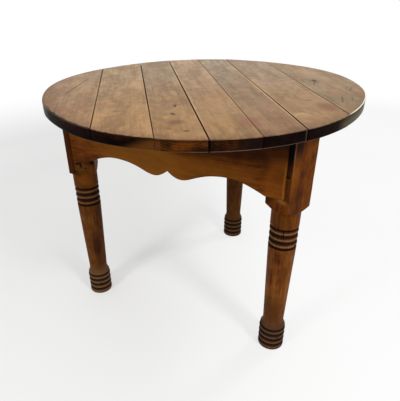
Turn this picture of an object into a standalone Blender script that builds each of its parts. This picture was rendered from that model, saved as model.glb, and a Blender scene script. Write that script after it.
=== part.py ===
"""A cricket table: a round plank top on three turned legs that are tied by three shaped aprons.

Metres, +Z up. The origin is on the floor under the middle of the top. The left leg stands on -X.
"""

import math

import bmesh
import bpy
from mathutils import Vector

# Whole table
TABLE_HEIGHT = 0.740
FIT_GAP = 0.0003  # clearance wherever two pieces touch

# Top boards, from the left, parallel to the right apron but turned slightly on the frame
TOP_DIAMETER = 0.921
TOP_THICKNESS = 0.028
TOP_TURN = math.radians(2.1)
FIRST_JOINT = 0.3055  # left of the middle
INNER_BOARD_WIDTHS = (0.1385, 0.1125, 0.115, 0.1065, 0.1365)
JOINT_GAPS = (0.0012, 0.0012, 0.0022, 0.0010, 0.0014, 0.0010)
BOARD_ARRIS = 0.002
ARRIS_SEGMENTS = 2
ARRIS_PROFILE = 0.5  # round
RIM_STEP = math.radians(3)

# Loose tongues between the boards
TONGUE_THICKNESS = 0.006
TONGUE_WIDTH = 0.018
TONGUE_STOP = 0.030  # from the tongue's end to the rim

# Battens under the boards
BATTEN_SPREAD = 0.220  # between the two centre lines
BATTEN_WIDTH = 0.060
BATTEN_DEPTH = 0.024
BATTEN_LAST_REACH = 0.079  # under the last board
BATTEN_APRON_SPACE = 0.030
BATTEN_END_SLOPE = 0.030
BATTEN_END_DEPTH = 0.010

# Wood screws
SCREW_LENGTH = 0.038
SCREW_SHANK = 0.004
SCREW_HEAD = 0.008
SCREW_HEAD_DEPTH = 0.003
SCREW_POINT_LENGTH = 0.006
SCREW_POINT = 0.0008
SCREW_SLOT_WIDTH = 0.0012
SCREW_SLOT_DEPTH = 0.0011
SCREW_SIDES = 12
SCREW_MARGIN = 0.020  # from a batten's end

# Legs, turned from square stock
LEG_CIRCLE_RADIUS = 0.380
LEG_STOCK = 0.082
LEG_SIDES = 28
BLOCK_LENGTHS = {"left_leg": 0.214, "right_leg": 0.207, "back_leg": 0.210}
SHOULDER_DROP = 0.011
NECK_DIAMETER = 0.078
NECK_LENGTH = 0.0505
UPPER_RING_DIAMETER = 0.078
UPPER_RING_COUNT = 3
RING_PITCH = 0.0204
GROOVE_WIDTH = 0.0056
GROOVE_DEPTH = 0.0036
RING_BEND = (-90, -55, 0, 55, 90)  # degrees round a ring's section
SHAFT_TOP_DIAMETER = 0.0775
ANKLE_DIAMETER = 0.062
ANKLE_HEIGHT = 0.108
FLARE_DIAMETER = 0.0755
FOOT_DIAMETER = 0.079
FOOT_RING_COUNT = 4
FOOT_EDGE = 0.004
FLARE_PULLS = ((0.3, 0.15), (0.0, 0.45))

# Aprons
APRON_THICKNESS = 0.022
APRON_DEPTH = 0.173
APRON_REVEAL = 0.018  # block face left showing between its outer corner and the apron
CUSP_RISE = 0.022
LOBE_OFFSET = 0.042
LOBE_RISE = 0.002
CROWN_OFFSET = 0.174
CROWN_RISE = 0.033
SCALLOP_HALF_LENGTH = 0.280
CUSP_PULLS = ((0.33, 0.6), (0.33, 0.0))
LOBE_PULLS = ((0.23, 0.0), (0.58, 0.0))
CROWN_PULLS = ((0.39, 0.0), (0.28, 0.42))
CURVE_STEPS = 7

# Tenons and their pegs
TENON_THICKNESS = 0.010
TENON_LENGTH = 0.037
TENON_TOP_SHOULDER = 0.020
TENON_BOTTOM_SHOULDER = 0.018
TENON_ROOT = 0.004
PEG_DIAMETER = 0.006
PEG_LENGTH = 0.032
PEG_TAPER = 0.0006
PEG_PROUD = 0.0005
PEG_EDGE = 0.001  # from the peg to the apron's end
PEG_RISE = 0.036  # above the apron's lower edge
PEG_SIDES = 14

# The mortise for the front apron in the right leg is cut wide and stands open at its upper end
OPEN_MORTISE_DEPTH = 0.112
OPEN_MORTISE_TOP_EDGE = 0.003  # block face left at the corner, at the top
OPEN_MORTISE_LOW_EDGE = 0.008  # and at the lower end

# Glue blocks
GLUE_BLOCK_LENGTH = 0.080
GLUE_BLOCK_SIDE = 0.024
GLUE_BLOCK_CUT = 0.010
GLUE_BLOCK_SPREAD = 0.400

# Leg and apron directions about the middle of the table
LEG_SPACING = math.radians(120)
LEG_ANGLES = {
    "left_leg": math.radians(180),
    "right_leg": math.radians(-60),
    "back_leg": math.radians(60),
}
APRON_ANGLES = {
    "front_apron": math.radians(-120),
    "right_apron": math.radians(0),
    "back_apron": math.radians(120),
}
# Legs at the clockwise and the anticlockwise end of each apron
APRON_LEGS = {
    "front_apron": ("left_leg", "right_leg"),
    "right_apron": ("right_leg", "back_leg"),
    "back_apron": ("back_leg", "left_leg"),
}

# Colours, linear
BOARD_COLOURS = (
    (0.30, 0.17, 0.085),
    (0.29, 0.165, 0.085),
    (0.31, 0.18, 0.09),
    (0.30, 0.17, 0.085),
    (0.27, 0.175, 0.105),
    (0.29, 0.16, 0.08),
    (0.27, 0.145, 0.07),
)
APRON_COLOUR = (0.150, 0.056, 0.013)
LEG_COLOUR = (0.110, 0.042, 0.014)
INNER_WOOD_COLOUR = (0.200, 0.105, 0.045)
PEG_COLOUR = (0.080, 0.036, 0.015)
IRON_COLOUR = (0.060, 0.055, 0.050)
WOOD_ROUGHNESS = 0.5
IRON_ROUGHNESS = 0.6
SHARP_ANGLE = math.radians(35)  # edges of turned pieces stay sharp past it

# Worked-out sizes
TOP_RADIUS = TOP_DIAMETER / 2
UNDERSIDE = TABLE_HEIGHT - TOP_THICKNESS
FRAME_TOP = UNDERSIDE - FIT_GAP
APRON_BOTTOM = UNDERSIDE - APRON_DEPTH
HALF_SPACING = LEG_SPACING / 2
HALF_STOCK = LEG_STOCK / 2

# In an apron's own frame +X points out and +Y runs along the apron. These are for the leg at the +Y end
LEG_OUT = Vector((math.cos(HALF_SPACING), math.sin(HALF_SPACING)))
LEG_SIDE = Vector((math.sin(HALF_SPACING), -math.cos(HALF_SPACING)))  # out of the face the apron meets
BLOCK_CORNER = LEG_OUT * (LEG_CIRCLE_RADIUS + HALF_STOCK) + LEG_SIDE * HALF_STOCK
APRON_FACE = BLOCK_CORNER.x - APRON_REVEAL * LEG_OUT.x
APRON_BACK = APRON_FACE - APRON_THICKNESS
TENON_MIDDLE = APRON_FACE - APRON_THICKNESS / 2
TENON_CHEEK = TENON_MIDDLE + TENON_THICKNESS / 2


def face_along(out):
    """Place along the apron where the leg block's face is met, at a distance out from the middle."""
    return BLOCK_CORNER.y - (BLOCK_CORNER.x - out) * LEG_OUT.y / LEG_OUT.x


TENON_SHOULDER = face_along(TENON_MIDDLE)
TENON_END = TENON_SHOULDER + TENON_LENGTH


def plain(a, b, height):
    """Outline in plan, extruded upwards."""
    return (a, b, height)


def upright(a, b, depth):
    """Outline drawn along Y and Z, extruded along X."""
    return (depth, a, b)


def crosswise(a, b, depth):
    """Outline drawn along X and Z, extruded along Y."""
    return (a, depth, b)


def prism(outline, low, high, place):
    bm = bmesh.new()
    rings = [[bm.verts.new(place(a, b, level)) for a, b in outline] for level in (low, high)]
    for ring in rings:
        bm.faces.new(ring)
    for i in range(len(outline)):
        bm.faces.new((rings[0][i - 1], rings[0][i], rings[1][i], rings[1][i - 1]))
    return bm


def box(low, high):
    outline = [(low[0], low[1]), (high[0], low[1]), (high[0], high[1]), (low[0], high[1])]
    return prism(outline, low[2], high[2], plain)


def lathe(profile, sides):
    """Closed turned shape round Z from a profile of radius and height, bottom to top."""
    bm = bmesh.new()
    turns = [math.tau * i / sides for i in range(sides)]
    rings = [[bm.verts.new((r * math.cos(a), r * math.sin(a), z)) for a in turns] for r, z in profile]
    for lower, upper in zip(rings, rings[1:]):
        for i in range(sides):
            bm.faces.new((lower[i - 1], lower[i], upper[i], upper[i - 1]))
    bm.faces.new(rings[0])
    bm.faces.new(rings[-1])
    return bm


def curve(start, end, pulls):
    """Cubic curve without its last point. Its pulls, one at each end, are shares of the way across and up."""
    start_pull, end_pull = pulls
    across, up = end[0] - start[0], end[1] - start[1]
    first = (start[0] + start_pull[0] * across, start[1] + start_pull[1] * up)
    second = (end[0] - end_pull[0] * across, end[1] - end_pull[1] * up)
    points = []
    for i in range(CURVE_STEPS):
        t = i / CURVE_STEPS
        weights = ((1 - t) ** 3, 3 * t * (1 - t) ** 2, 3 * t * t * (1 - t), t**3)
        handles = (start, first, second, end)
        points.append(tuple(sum(w * h[k] for w, h in zip(weights, handles)) for k in (0, 1)))
    return points


def add_empty(name, turn):
    empty = bpy.data.objects.new(name, None)
    empty.rotation_euler.z = turn
    bpy.context.collection.objects.link(empty)
    return empty


def add_object(name, bm, parent):
    bmesh.ops.recalc_face_normals(bm, faces=bm.faces)
    mesh = bpy.data.meshes.new(name)
    bm.to_mesh(mesh)
    bm.free()
    item = bpy.data.objects.new(name, mesh)
    item.parent = parent
    bpy.context.collection.objects.link(item)
    return item


def add_piece(name, bm, parent, colour, roughness=WOOD_ROUGHNESS, metallic=0.0, turned=False):
    piece = add_object(name, bm, parent)
    material = bpy.data.materials.new(name + "_finish")
    material.use_nodes = True
    shader = material.node_tree.nodes["Principled BSDF"]
    shader.inputs["Base Color"].default_value = (*colour, 1.0)
    shader.inputs["Roughness"].default_value = roughness
    shader.inputs["Metallic"].default_value = metallic
    piece.data.materials.append(material)
    if turned:
        piece.data.shade_smooth()
        piece.data.set_sharp_from_angle(angle=SHARP_ANGLE)
    return piece


def add_cutter(name, bm, parent):
    cutter = add_object(name, bm, parent)
    cutter.hide_render = True
    cutter.display_type = "WIRE"
    return cutter


def combine(piece, other, operation):
    step = piece.modifiers.new(other.name, "BOOLEAN")
    step.object = other
    step.operation = operation
    step.solver = "EXACT"


def cut(piece, cutter):
    combine(piece, cutter, "DIFFERENCE")


# Top boards and tongues


def rim_arc(start, end):
    steps = max(1, math.ceil((end - start) / RIM_STEP))
    angles = [start + (end - start) * i / steps for i in range(steps + 1)]
    return [(TOP_RADIUS * math.cos(a), TOP_RADIUS * math.sin(a)) for a in angles]


def board_outline(left, right):
    """Slice of the round top between two lines across it."""
    left_angle = math.acos(max(-1.0, left / TOP_RADIUS))
    right_angle = math.acos(min(1.0, right / TOP_RADIUS))
    points = rim_arc(-left_angle, -right_angle) + rim_arc(right_angle, left_angle)
    return [p for i, p in enumerate(points) if math.dist(p, points[i - 1]) > FIT_GAP]


def joint_places():
    places = [-FIRST_JOINT]
    for width in INNER_BOARD_WIDTHS:
        places.append(places[-1] + width)
    return places


def board_edges():
    """Left and right edge of each board."""
    joints = list(zip(joint_places(), JOINT_GAPS))
    lefts = [-TOP_RADIUS] + [place + gap / 2 for place, gap in joints]
    rights = [place - gap / 2 for place, gap in joints] + [TOP_RADIUS]
    return list(zip(lefts, rights))


def add_boards(top):
    boards = []
    for number, (left, right) in enumerate(board_edges()):
        bm = prism(board_outline(left, right), UNDERSIDE, TABLE_HEIGHT, plain)
        upper = [e for e in bm.edges if all(v.co.z > UNDERSIDE + TOP_THICKNESS / 2 for v in e.verts)]
        bmesh.ops.bevel(
            bm, geom=upper, offset=BOARD_ARRIS, segments=ARRIS_SEGMENTS, profile=ARRIS_PROFILE, affect="EDGES"
        )
        boards.append(add_piece(f"top_board_{number + 1}", bm, top, BOARD_COLOURS[number]))
    return boards


def add_tongues(top, boards):
    middle = UNDERSIDE + TOP_THICKNESS / 2
    for number, place in enumerate(joint_places()):
        length = math.sqrt(TOP_RADIUS**2 - place**2) - TONGUE_STOP
        size = Vector((TONGUE_WIDTH / 2, length, TONGUE_THICKNESS / 2))
        centre = Vector((place, 0, middle))
        add_piece(f"tongue_{number + 1}", box(centre - size, centre + size), top, INNER_WOOD_COLOUR)
        room = size + Vector((FIT_GAP, FIT_GAP, FIT_GAP))
        groove = add_cutter(f"tongue_groove_{number + 1}", box(centre - room, centre + room), top)
        cut(boards[number], groove)
        cut(boards[number + 1], groove)


# Battens and screws


def batten_ends():
    """Left end clear of the front and back aprons, right end some way under the last board."""
    edge = (BATTEN_SPREAD + BATTEN_WIDTH) / 2
    clear = APRON_BACK - BATTEN_APRON_SPACE
    left = (LEG_OUT.y * edge - clear) / LEG_OUT.x
    right = joint_places()[-1] + BATTEN_LAST_REACH
    return left, right


def add_batten(name, top, side):
    left, right = batten_ends()
    bottom = FRAME_TOP - BATTEN_DEPTH
    end = FRAME_TOP - BATTEN_END_DEPTH
    outline = [
        (left, FRAME_TOP),
        (left, end),
        (left + BATTEN_END_SLOPE, bottom),
        (right - BATTEN_END_SLOPE, bottom),
        (right, end),
        (right, FRAME_TOP),
    ]
    middle = side * BATTEN_SPREAD / 2
    low, high = middle - BATTEN_WIDTH / 2, middle + BATTEN_WIDTH / 2
    batten = add_piece(name, prism(outline, low, high, crosswise), top, INNER_WOOD_COLOUR)
    room = box((left, low - FIT_GAP, bottom - FIT_GAP), (right, high + FIT_GAP, TABLE_HEIGHT))
    return batten, add_cutter(name + "_notch", room, top)


def screw_places():
    """Board number and place along a batten of each screw, clear of the tongues and the right apron."""
    left, right = batten_ends()
    reach = TONGUE_WIDTH / 2 + SCREW_HEAD / 2
    places = []
    for number, (board_left, board_right) in enumerate(board_edges()):
        low = max(board_left + reach, left + BATTEN_END_SLOPE + SCREW_MARGIN / 2)
        high = min(board_right - reach, right - BATTEN_END_SLOPE - SCREW_MARGIN / 2)
        if low < APRON_FACE < high:
            low = APRON_FACE + SCREW_MARGIN
        if low < high:
            places.append((number, (low + high) / 2))
    return places


def screw_profile(gap):
    head, shank, point = SCREW_HEAD / 2 + gap, SCREW_SHANK / 2 + gap, SCREW_POINT / 2 + gap
    return [
        (head, -gap),
        (shank, SCREW_HEAD_DEPTH),
        (shank, SCREW_LENGTH - SCREW_POINT_LENGTH),
        (point, SCREW_LENGTH + gap),
    ]


def add_screw(name, top, place, batten, board):
    screw = add_piece(
        name, lathe(screw_profile(0), SCREW_SIDES), top, IRON_COLOUR, IRON_ROUGHNESS, 1.0, turned=True
    )
    hole = add_cutter(name + "_hole", lathe(screw_profile(FIT_GAP), SCREW_SIDES), top)
    low = (-SCREW_SLOT_WIDTH / 2, -SCREW_HEAD, -SCREW_HEAD)
    slot = add_cutter(name + "_slot", box(low, (SCREW_SLOT_WIDTH / 2, SCREW_HEAD, SCREW_SLOT_DEPTH)), top)
    for item in (screw, hole, slot):
        item.location = place
    cut(screw, slot)
    cut(batten, hole)
    cut(board, hole)


def add_battens(top, boards, apron):
    number = 0
    for name, side in (("front_batten", -1), ("back_batten", 1)):
        batten, notch = add_batten(name, top, side)
        cut(apron, notch)
        for board, along in screw_places():
            number += 1
            place = (along, side * BATTEN_SPREAD / 2, FRAME_TOP - BATTEN_DEPTH)
            add_screw(f"batten_screw_{number}", top, place, batten, boards[board])


# Legs


def ring_profile(low, count, diameter):
    """Rounded rings with a groove at both ends of each, upwards from low."""
    crest = diameter / 2
    half = (RING_PITCH - GROOVE_WIDTH) / 2
    points = []
    for i in range(count):
        middle = low + (i + 0.5) * RING_PITCH
        for degrees in RING_BEND:
            a = math.radians(degrees)
            fullness = math.sqrt(max(0.0, math.cos(a)))
            points.append((crest - GROOVE_DEPTH * (1 - fullness), middle + half * math.sin(a)))
    return points


def leg_profile(block_length):
    """Turned outline of the leg. The block's part stays wider than the square stock's corners."""
    shoulder_top = UNDERSIDE - block_length
    shoulder_low = shoulder_top - SHOULDER_DROP
    corner = math.hypot(HALF_STOCK, HALF_STOCK)
    slope = SHOULDER_DROP / (corner - NECK_DIAMETER / 2)
    wide = corner + GROOVE_DEPTH
    rings_top = shoulder_low - NECK_LENGTH
    rings_low = rings_top - UPPER_RING_COUNT * RING_PITCH
    foot_top = FOOT_RING_COUNT * RING_PITCH
    foot_rings = ring_profile(0, FOOT_RING_COUNT, FOOT_DIAMETER)
    upper_rings = ring_profile(rings_low, UPPER_RING_COUNT, UPPER_RING_DIAMETER)
    flare_low = (FLARE_DIAMETER / 2, foot_top + GROOVE_WIDTH / 2)
    ankle = (ANKLE_DIAMETER / 2, ANKLE_HEIGHT)
    return (
        [(FOOT_DIAMETER / 2 - FOOT_EDGE, 0.0), (FOOT_DIAMETER / 2, FOOT_EDGE)]
        + foot_rings[2:]
        + [(FOOT_DIAMETER / 2 - GROOVE_DEPTH, flare_low[1])]
        + curve(flare_low, ankle, FLARE_PULLS)[::2]
        + [ankle]
        + [(SHAFT_TOP_DIAMETER / 2, rings_low - GROOVE_WIDTH / 2)]
        + [(UPPER_RING_DIAMETER / 2 - GROOVE_DEPTH, rings_low - GROOVE_WIDTH / 2 + FIT_GAP)]
        + upper_rings
        + [(UPPER_RING_DIAMETER / 2 - GROOVE_DEPTH, rings_top + GROOVE_WIDTH / 2)]
        + [(NECK_DIAMETER / 2, rings_top + GROOVE_WIDTH / 2 + FIT_GAP)]
        + [(NECK_DIAMETER / 2, shoulder_low)]
        + [(wide, shoulder_top + (wide - corner) * slope)]
        + [(wide, UNDERSIDE)]
    )


def add_legs():
    legs = {}
    for name, angle in LEG_ANGLES.items():
        turning = lathe(leg_profile(BLOCK_LENGTHS[name]), LEG_SIDES)
        leg = add_piece(name, turning, None, LEG_COLOUR, turned=True)
        stock = box((-HALF_STOCK, -HALF_STOCK, -LEG_STOCK), (HALF_STOCK, HALF_STOCK, FRAME_TOP))
        square = add_cutter(name + "_stock", stock, None)
        for item in (leg, square):
            item.rotation_euler.z = angle
            item.location = (LEG_CIRCLE_RADIUS * math.cos(angle), LEG_CIRCLE_RADIUS * math.sin(angle), 0)
        combine(leg, square, "INTERSECT")
        legs[name] = leg
    return legs


# Aprons, with their tenons, pegs and glue blocks


def apron_outline():
    """Shaped lower edge, mirrored about its middle cusp, and a straight top edge."""
    cusp = (0.0, APRON_BOTTOM + CUSP_RISE)
    lobe = (LOBE_OFFSET, APRON_BOTTOM + LOBE_RISE)
    crown = (CROWN_OFFSET, APRON_BOTTOM + CROWN_RISE)
    foot = (SCALLOP_HALF_LENGTH, APRON_BOTTOM)
    half = (
        curve(cusp, lobe, CUSP_PULLS)
        + curve(lobe, crown, LOBE_PULLS)
        + curve(crown, foot, CROWN_PULLS)
        + [foot, (TENON_END, APRON_BOTTOM), (TENON_END, FRAME_TOP)]
    )
    return [(-along, height) for along, height in reversed(half[1:])] + half


def shoulder_cutter(end):
    """Everything past the leg block's face, in plan."""
    line = Vector((LEG_OUT.x, LEG_OUT.y))
    start = BLOCK_CORNER + LEG_SIDE * FIT_GAP
    corners = (start + line * LEG_CIRCLE_RADIUS, start - line * LEG_CIRCLE_RADIUS)
    far = [corner - LEG_SIDE * LEG_CIRCLE_RADIUS for corner in reversed(corners)]
    return prism([(p.x, end * p.y) for p in (*corners, *far)], 0, TABLE_HEIGHT, plain)


def tenon_box(end, gap):
    root = TENON_SHOULDER - TENON_THICKNESS / 2 * LEG_OUT.y / LEG_OUT.x - TENON_ROOT
    along = sorted((end * root, end * (TENON_END + gap)))
    half = TENON_THICKNESS / 2 + gap
    low = (TENON_MIDDLE - half, along[0], APRON_BOTTOM + TENON_BOTTOM_SHOULDER - gap)
    high = (TENON_MIDDLE + half, along[1], FRAME_TOP - TENON_TOP_SHOULDER + gap)
    return box(low, high)


def peg_profile(gap):
    radius = PEG_DIAMETER / 2 + gap
    return [(radius, -gap), (radius, PEG_LENGTH / 2), (radius - PEG_TAPER, PEG_LENGTH + gap)]


def place_peg(peg, end):
    """The peg goes in square to the leg block's face, just past the apron's end."""
    inset = APRON_REVEAL - PEG_EDGE - PEG_DIAMETER / 2
    start = BLOCK_CORNER - LEG_OUT * inset + LEG_SIDE * PEG_PROUD
    peg.location = (start.x, end * start.y, APRON_BOTTOM + PEG_RISE)
    inwards = Vector((-LEG_SIDE.x, -end * LEG_SIDE.y, 0))
    peg.rotation_mode = "QUATERNION"
    peg.rotation_quaternion = Vector((0, 0, 1)).rotation_difference(inwards)


def glue_block(middle):
    back = APRON_BACK - FIT_GAP
    low = FRAME_TOP - GLUE_BLOCK_SIDE
    outline = [
        (back, FRAME_TOP),
        (back - GLUE_BLOCK_SIDE, FRAME_TOP),
        (back - GLUE_BLOCK_SIDE, low + GLUE_BLOCK_CUT),
        (back - GLUE_BLOCK_SIDE + GLUE_BLOCK_CUT, low),
        (back, low),
    ]
    return prism(outline, middle - GLUE_BLOCK_LENGTH / 2, middle + GLUE_BLOCK_LENGTH / 2, crosswise)


def add_apron(name, angle, legs):
    frame = add_empty(name + "_place", angle)
    apron = add_piece(name, prism(apron_outline(), APRON_BACK, APRON_FACE, upright), frame, APRON_COLOUR)
    for end, leg in zip((-1, 1), APRON_LEGS[name]):
        joint = f"{name}_{leg}"
        cut(apron, add_cutter(joint + "_shoulder", shoulder_cutter(end), frame))
        combine(apron, add_cutter(joint + "_tenon", tenon_box(end, 0), frame), "UNION")
        cut(legs[leg], add_cutter(joint + "_mortise", tenon_box(end, FIT_GAP), frame))
        peg_bm = lathe(peg_profile(0), PEG_SIDES)
        peg = add_piece(joint + "_peg", peg_bm, frame, PEG_COLOUR, turned=True)
        hole = add_cutter(joint + "_peg_hole", lathe(peg_profile(FIT_GAP), PEG_SIDES), frame)
        for item in (peg, hole):
            place_peg(item, end)
        cut(apron, hole)
        cut(legs[leg], hole)
        block = glue_block(end * GLUE_BLOCK_SPREAD / 2)
        add_piece(joint + "_glue_block", block, frame, INNER_WOOD_COLOUR)
    return apron


def open_mortise(frame):
    """Gap beside the front apron's right end, narrowing downwards, as deep as the tenon's cheek."""
    start = face_along(APRON_FACE)
    top_end = BLOCK_CORNER.y - OPEN_MORTISE_TOP_EDGE * LEG_OUT.y
    low_end = BLOCK_CORNER.y - OPEN_MORTISE_LOW_EDGE * LEG_OUT.y
    low = UNDERSIDE - OPEN_MORTISE_DEPTH
    outline = [
        (start - APRON_REVEAL, low),
        (low_end, low),
        (top_end, UNDERSIDE),
        (top_end, TABLE_HEIGHT),
        (start - APRON_REVEAL, TABLE_HEIGHT),
    ]
    return add_cutter("open_mortise", prism(outline, TENON_CHEEK, TENON_CHEEK + LEG_STOCK, upright), frame)


def main():
    for item in list(bpy.data.objects):
        bpy.data.objects.remove(item, do_unlink=True)
    legs = add_legs()
    aprons = {name: add_apron(name, angle, legs) for name, angle in APRON_ANGLES.items()}
    cut(legs["right_leg"], open_mortise(aprons["front_apron"].parent))
    top = add_empty("top_place", TOP_TURN)
    boards = add_boards(top)
    add_tongues(top, boards)
    add_battens(top, boards, aprons["right_apron"])


main()
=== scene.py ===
"""The look of a cricket table: a worn plank top on turned legs that are tied by shaped aprons.

Metres, +Z up. The origin is on the floor under the middle of the top. The left leg stands on -X.
"""

import math

import bmesh
import bpy
import numpy as np
from mathutils import Matrix, Vector, noise


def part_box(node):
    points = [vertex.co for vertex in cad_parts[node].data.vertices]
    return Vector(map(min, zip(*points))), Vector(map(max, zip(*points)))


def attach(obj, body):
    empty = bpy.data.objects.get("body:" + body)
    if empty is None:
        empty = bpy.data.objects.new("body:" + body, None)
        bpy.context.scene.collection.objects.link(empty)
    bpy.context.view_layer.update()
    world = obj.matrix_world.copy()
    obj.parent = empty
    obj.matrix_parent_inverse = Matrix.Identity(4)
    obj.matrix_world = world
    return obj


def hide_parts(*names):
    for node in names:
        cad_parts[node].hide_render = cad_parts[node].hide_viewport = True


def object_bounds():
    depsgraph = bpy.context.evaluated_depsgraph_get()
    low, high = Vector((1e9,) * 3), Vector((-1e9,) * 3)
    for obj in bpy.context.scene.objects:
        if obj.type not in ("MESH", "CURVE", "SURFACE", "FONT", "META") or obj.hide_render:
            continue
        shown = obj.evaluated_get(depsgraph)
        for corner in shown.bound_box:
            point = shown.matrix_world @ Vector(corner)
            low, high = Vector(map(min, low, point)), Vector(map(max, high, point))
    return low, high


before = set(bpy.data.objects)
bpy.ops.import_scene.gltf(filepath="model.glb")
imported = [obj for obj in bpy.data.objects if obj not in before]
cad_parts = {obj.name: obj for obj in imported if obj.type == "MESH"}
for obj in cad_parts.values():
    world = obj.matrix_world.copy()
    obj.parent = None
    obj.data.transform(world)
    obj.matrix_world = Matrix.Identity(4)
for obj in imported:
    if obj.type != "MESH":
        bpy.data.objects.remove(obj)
CAD_LOW, CAD_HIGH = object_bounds()

BODY = "root"
FIT_GAP = 0.0003
SHARP_ANGLE = math.radians(38)

# Top
TOP_TURN = math.radians(2.1)
BOARD_COUNT = 7
TABLE_HEIGHT = CAD_HIGH.z
TOP_RADIUS = (CAD_HIGH.x - CAD_LOW.x) / 2
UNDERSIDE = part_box("top_board_4")[0].z
BOARD_THICKNESS = TABLE_HEIGHT - UNDERSIDE
GRID_ACROSS = 0.005
GRID_ALONG = 0.007
JOINT_ARRIS = 0.0012
# How far both boards have swollen into each joint: at its front, in its middle and at its back
JOINT_CLOSING = {
    1: (0.0002, 0.0004, 0.0005),
    2: (0.0006, -0.0002, -0.0001),
    3: (0.0003, 0.0, 0.0005),
    4: (0.0003, 0.0003, 0.0003),
    5: (0.0, 0.0, 0.0),
    6: (0.0003, 0.0, 0.0001),
}
RIM_ARRIS = 0.0026
LOWER_ARRIS = 0.0015
ARRIS_STEPS = 4
CORNER_ROUND = 0.0016
# Steps beside a rounded corner, and how far it and the points beside it are drawn in, by its size
CORNER_STEPS = (0.0, 0.6, 1.2)
CORNER_DRAW = 0.29
BESIDE_DRAW = 0.08
# Length of an outer board, by the width that its grid is divided for
OUTER_BOARD_SHAPE = 2.4
SIDE_LAYERS = (0.75, 0.5, 0.25)
# Upward share of a face's normal, under which it is underside or can be rim
UNDERSIDE_SLOPE = -0.4
RIM_SLOPE = 0.45
RIM_WAVE = 0.0005
# Middle and reach in degrees, and size, of each stretch where the hand-sawn outline leaves the circle
OUT_OF_ROUND = (
    (24, 20, 0.012),
    (-16, 11, 0.0048),
    (4, 18, 0.009),
    (72, 12, 0.006),
    (152, 20, 0.015),
    (170, 12, 0.0035),
    (-152, 12, -0.004),
    (-46, 14, -0.0025),
)
BOARD_LEVELS = (0.0, -0.0004, 0.0001, -0.0002, -0.0005, 0.0, -0.0003)
RIM_STEPS = (0.0, -0.0004, 0.0003, -0.0002, -0.0005, 0.0002, -0.0003)
BOARD_CUP = 0.0004
BOARD_SWELL = 0.00035
BOARD_RIPPLE = 0.00012
# Waves in a metre of each kind of unevenness
RIM_WAVES = 7
SWELL_WAVES = (6, 2.5, 1)
RIPPLE_WAVES = (34, 11, 1)

# Legs
LEG_ANGLES = {
    "left_leg": math.radians(180),
    "right_leg": math.radians(-60),
    "back_leg": math.radians(60),
}
LEFT_LEG_LOW, LEFT_LEG_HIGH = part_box("left_leg")
LEG_CIRCLE_RADIUS = -(LEFT_LEG_LOW.x + LEFT_LEG_HIGH.x) / 2
HALF_STOCK = (LEFT_LEG_HIGH.x - LEFT_LEG_LOW.x) / 2
FRAME_TOP = LEFT_LEG_HIGH.z
BLOCK_LENGTHS = {"left_leg": 0.214, "right_leg": 0.207, "back_leg": 0.210}
SHOULDER_DROP = 0.011
SHOULDER_EDGE = 0.0012
NECK_RADIUS = 0.039
NECK_LENGTH = 0.0505
UPPER_RING_RADIUS = 0.039
UPPER_RING_COUNT = 3
RING_PITCH = 0.0204
GROOVE_WIDTH = 0.0056
GROOVE_DEPTH = 0.0036
GROOVE_UNDERCUT = 1.12
GROOVE_STEPS = (0.3, 0.5, 0.7)
SHOULDER_STEPS = (0.12, 0.25, 0.4, 0.55, 0.7, 0.85, 1.0)
SHAFT_TOP_RADIUS = 0.03875
ANKLE_RADIUS = 0.031
ANKLE_HEIGHT = 0.108
FLARE_RADIUS = 0.03775
FOOT_RADIUS = 0.0395
FOOT_RING_COUNT = 4
FOOT_EDGE = 0.004
FLARE_PULLS = ((0.3, 0.15), (0.0, 0.45))
FLARE_LOW = FOOT_RING_COUNT * RING_PITCH + GROOVE_WIDTH / 2
FLARE_DIRT = 0.12
LEG_FACE_STEPS = 40
LEG_ROW = 0.006
KNOCKED_LENGTH = 0.050
KNOCKED_ROW = 0.0014
RING_STEPS = 14
BLOCK_ARRIS = 0.0022
BLOCK_ARRIS_CHANGE = 0.6
LEG_WAVE = 0.00018
BLOCK_WAVE = 0.00028
LEG_WAVES = (26, 26, 14)
BLOCK_WAVES = (16, 16, 7)
ARRIS_WAVES = 30
CLOSEST_ANGLES = math.radians(0.04)
SPLIT_ANGLES = {"right_leg": math.radians(-48.5)}
SPLIT_STEPS = np.radians((-2.4, -1.6, -0.9, -0.4, 0.0, 0.4, 0.9, 1.6, 2.4))
# Height, angle, half height, half width and depth of each knock
LEG_DENTS = {
    "left_leg": [
        (0.528, 75, 0.0034, 0.0090, 0.0040),
        (0.520, 87, 0.0080, 0.0032, 0.0038),
        (0.529, 129, 0.0044, 0.0068, 0.0042),
        (0.511, 106, 0.0032, 0.0055, 0.0024),
        (0.503, 60, 0.0030, 0.0080, 0.0026),
        (0.5005, 96, 0.0020, 0.0160, 0.0016),
        (0.415, 70, 0.0030, 0.0050, 0.0008),
        (0.047, 100, 0.0030, 0.0060, 0.0010),
    ],
    "right_leg": [
        (0.512, -70, 0.0040, 0.0060, 0.0012),
        (0.392, 10, 0.0030, 0.0060, 0.0009),
        (0.052, -20, 0.0040, 0.0050, 0.0011),
    ],
    "back_leg": [
        (0.400, -150, 0.0030, 0.0060, 0.0010),
        (0.030, 160, 0.0040, 0.0060, 0.0011),
    ],
}
# Crack in the rings of one leg
SPLIT_TOP = 0.445
SPLIT_LOW = 0.416
SPLIT_DEPTH = 0.0030
SPLIT_HALF_WIDTH = 0.0012
SPLIT_FADE = 0.008

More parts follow.
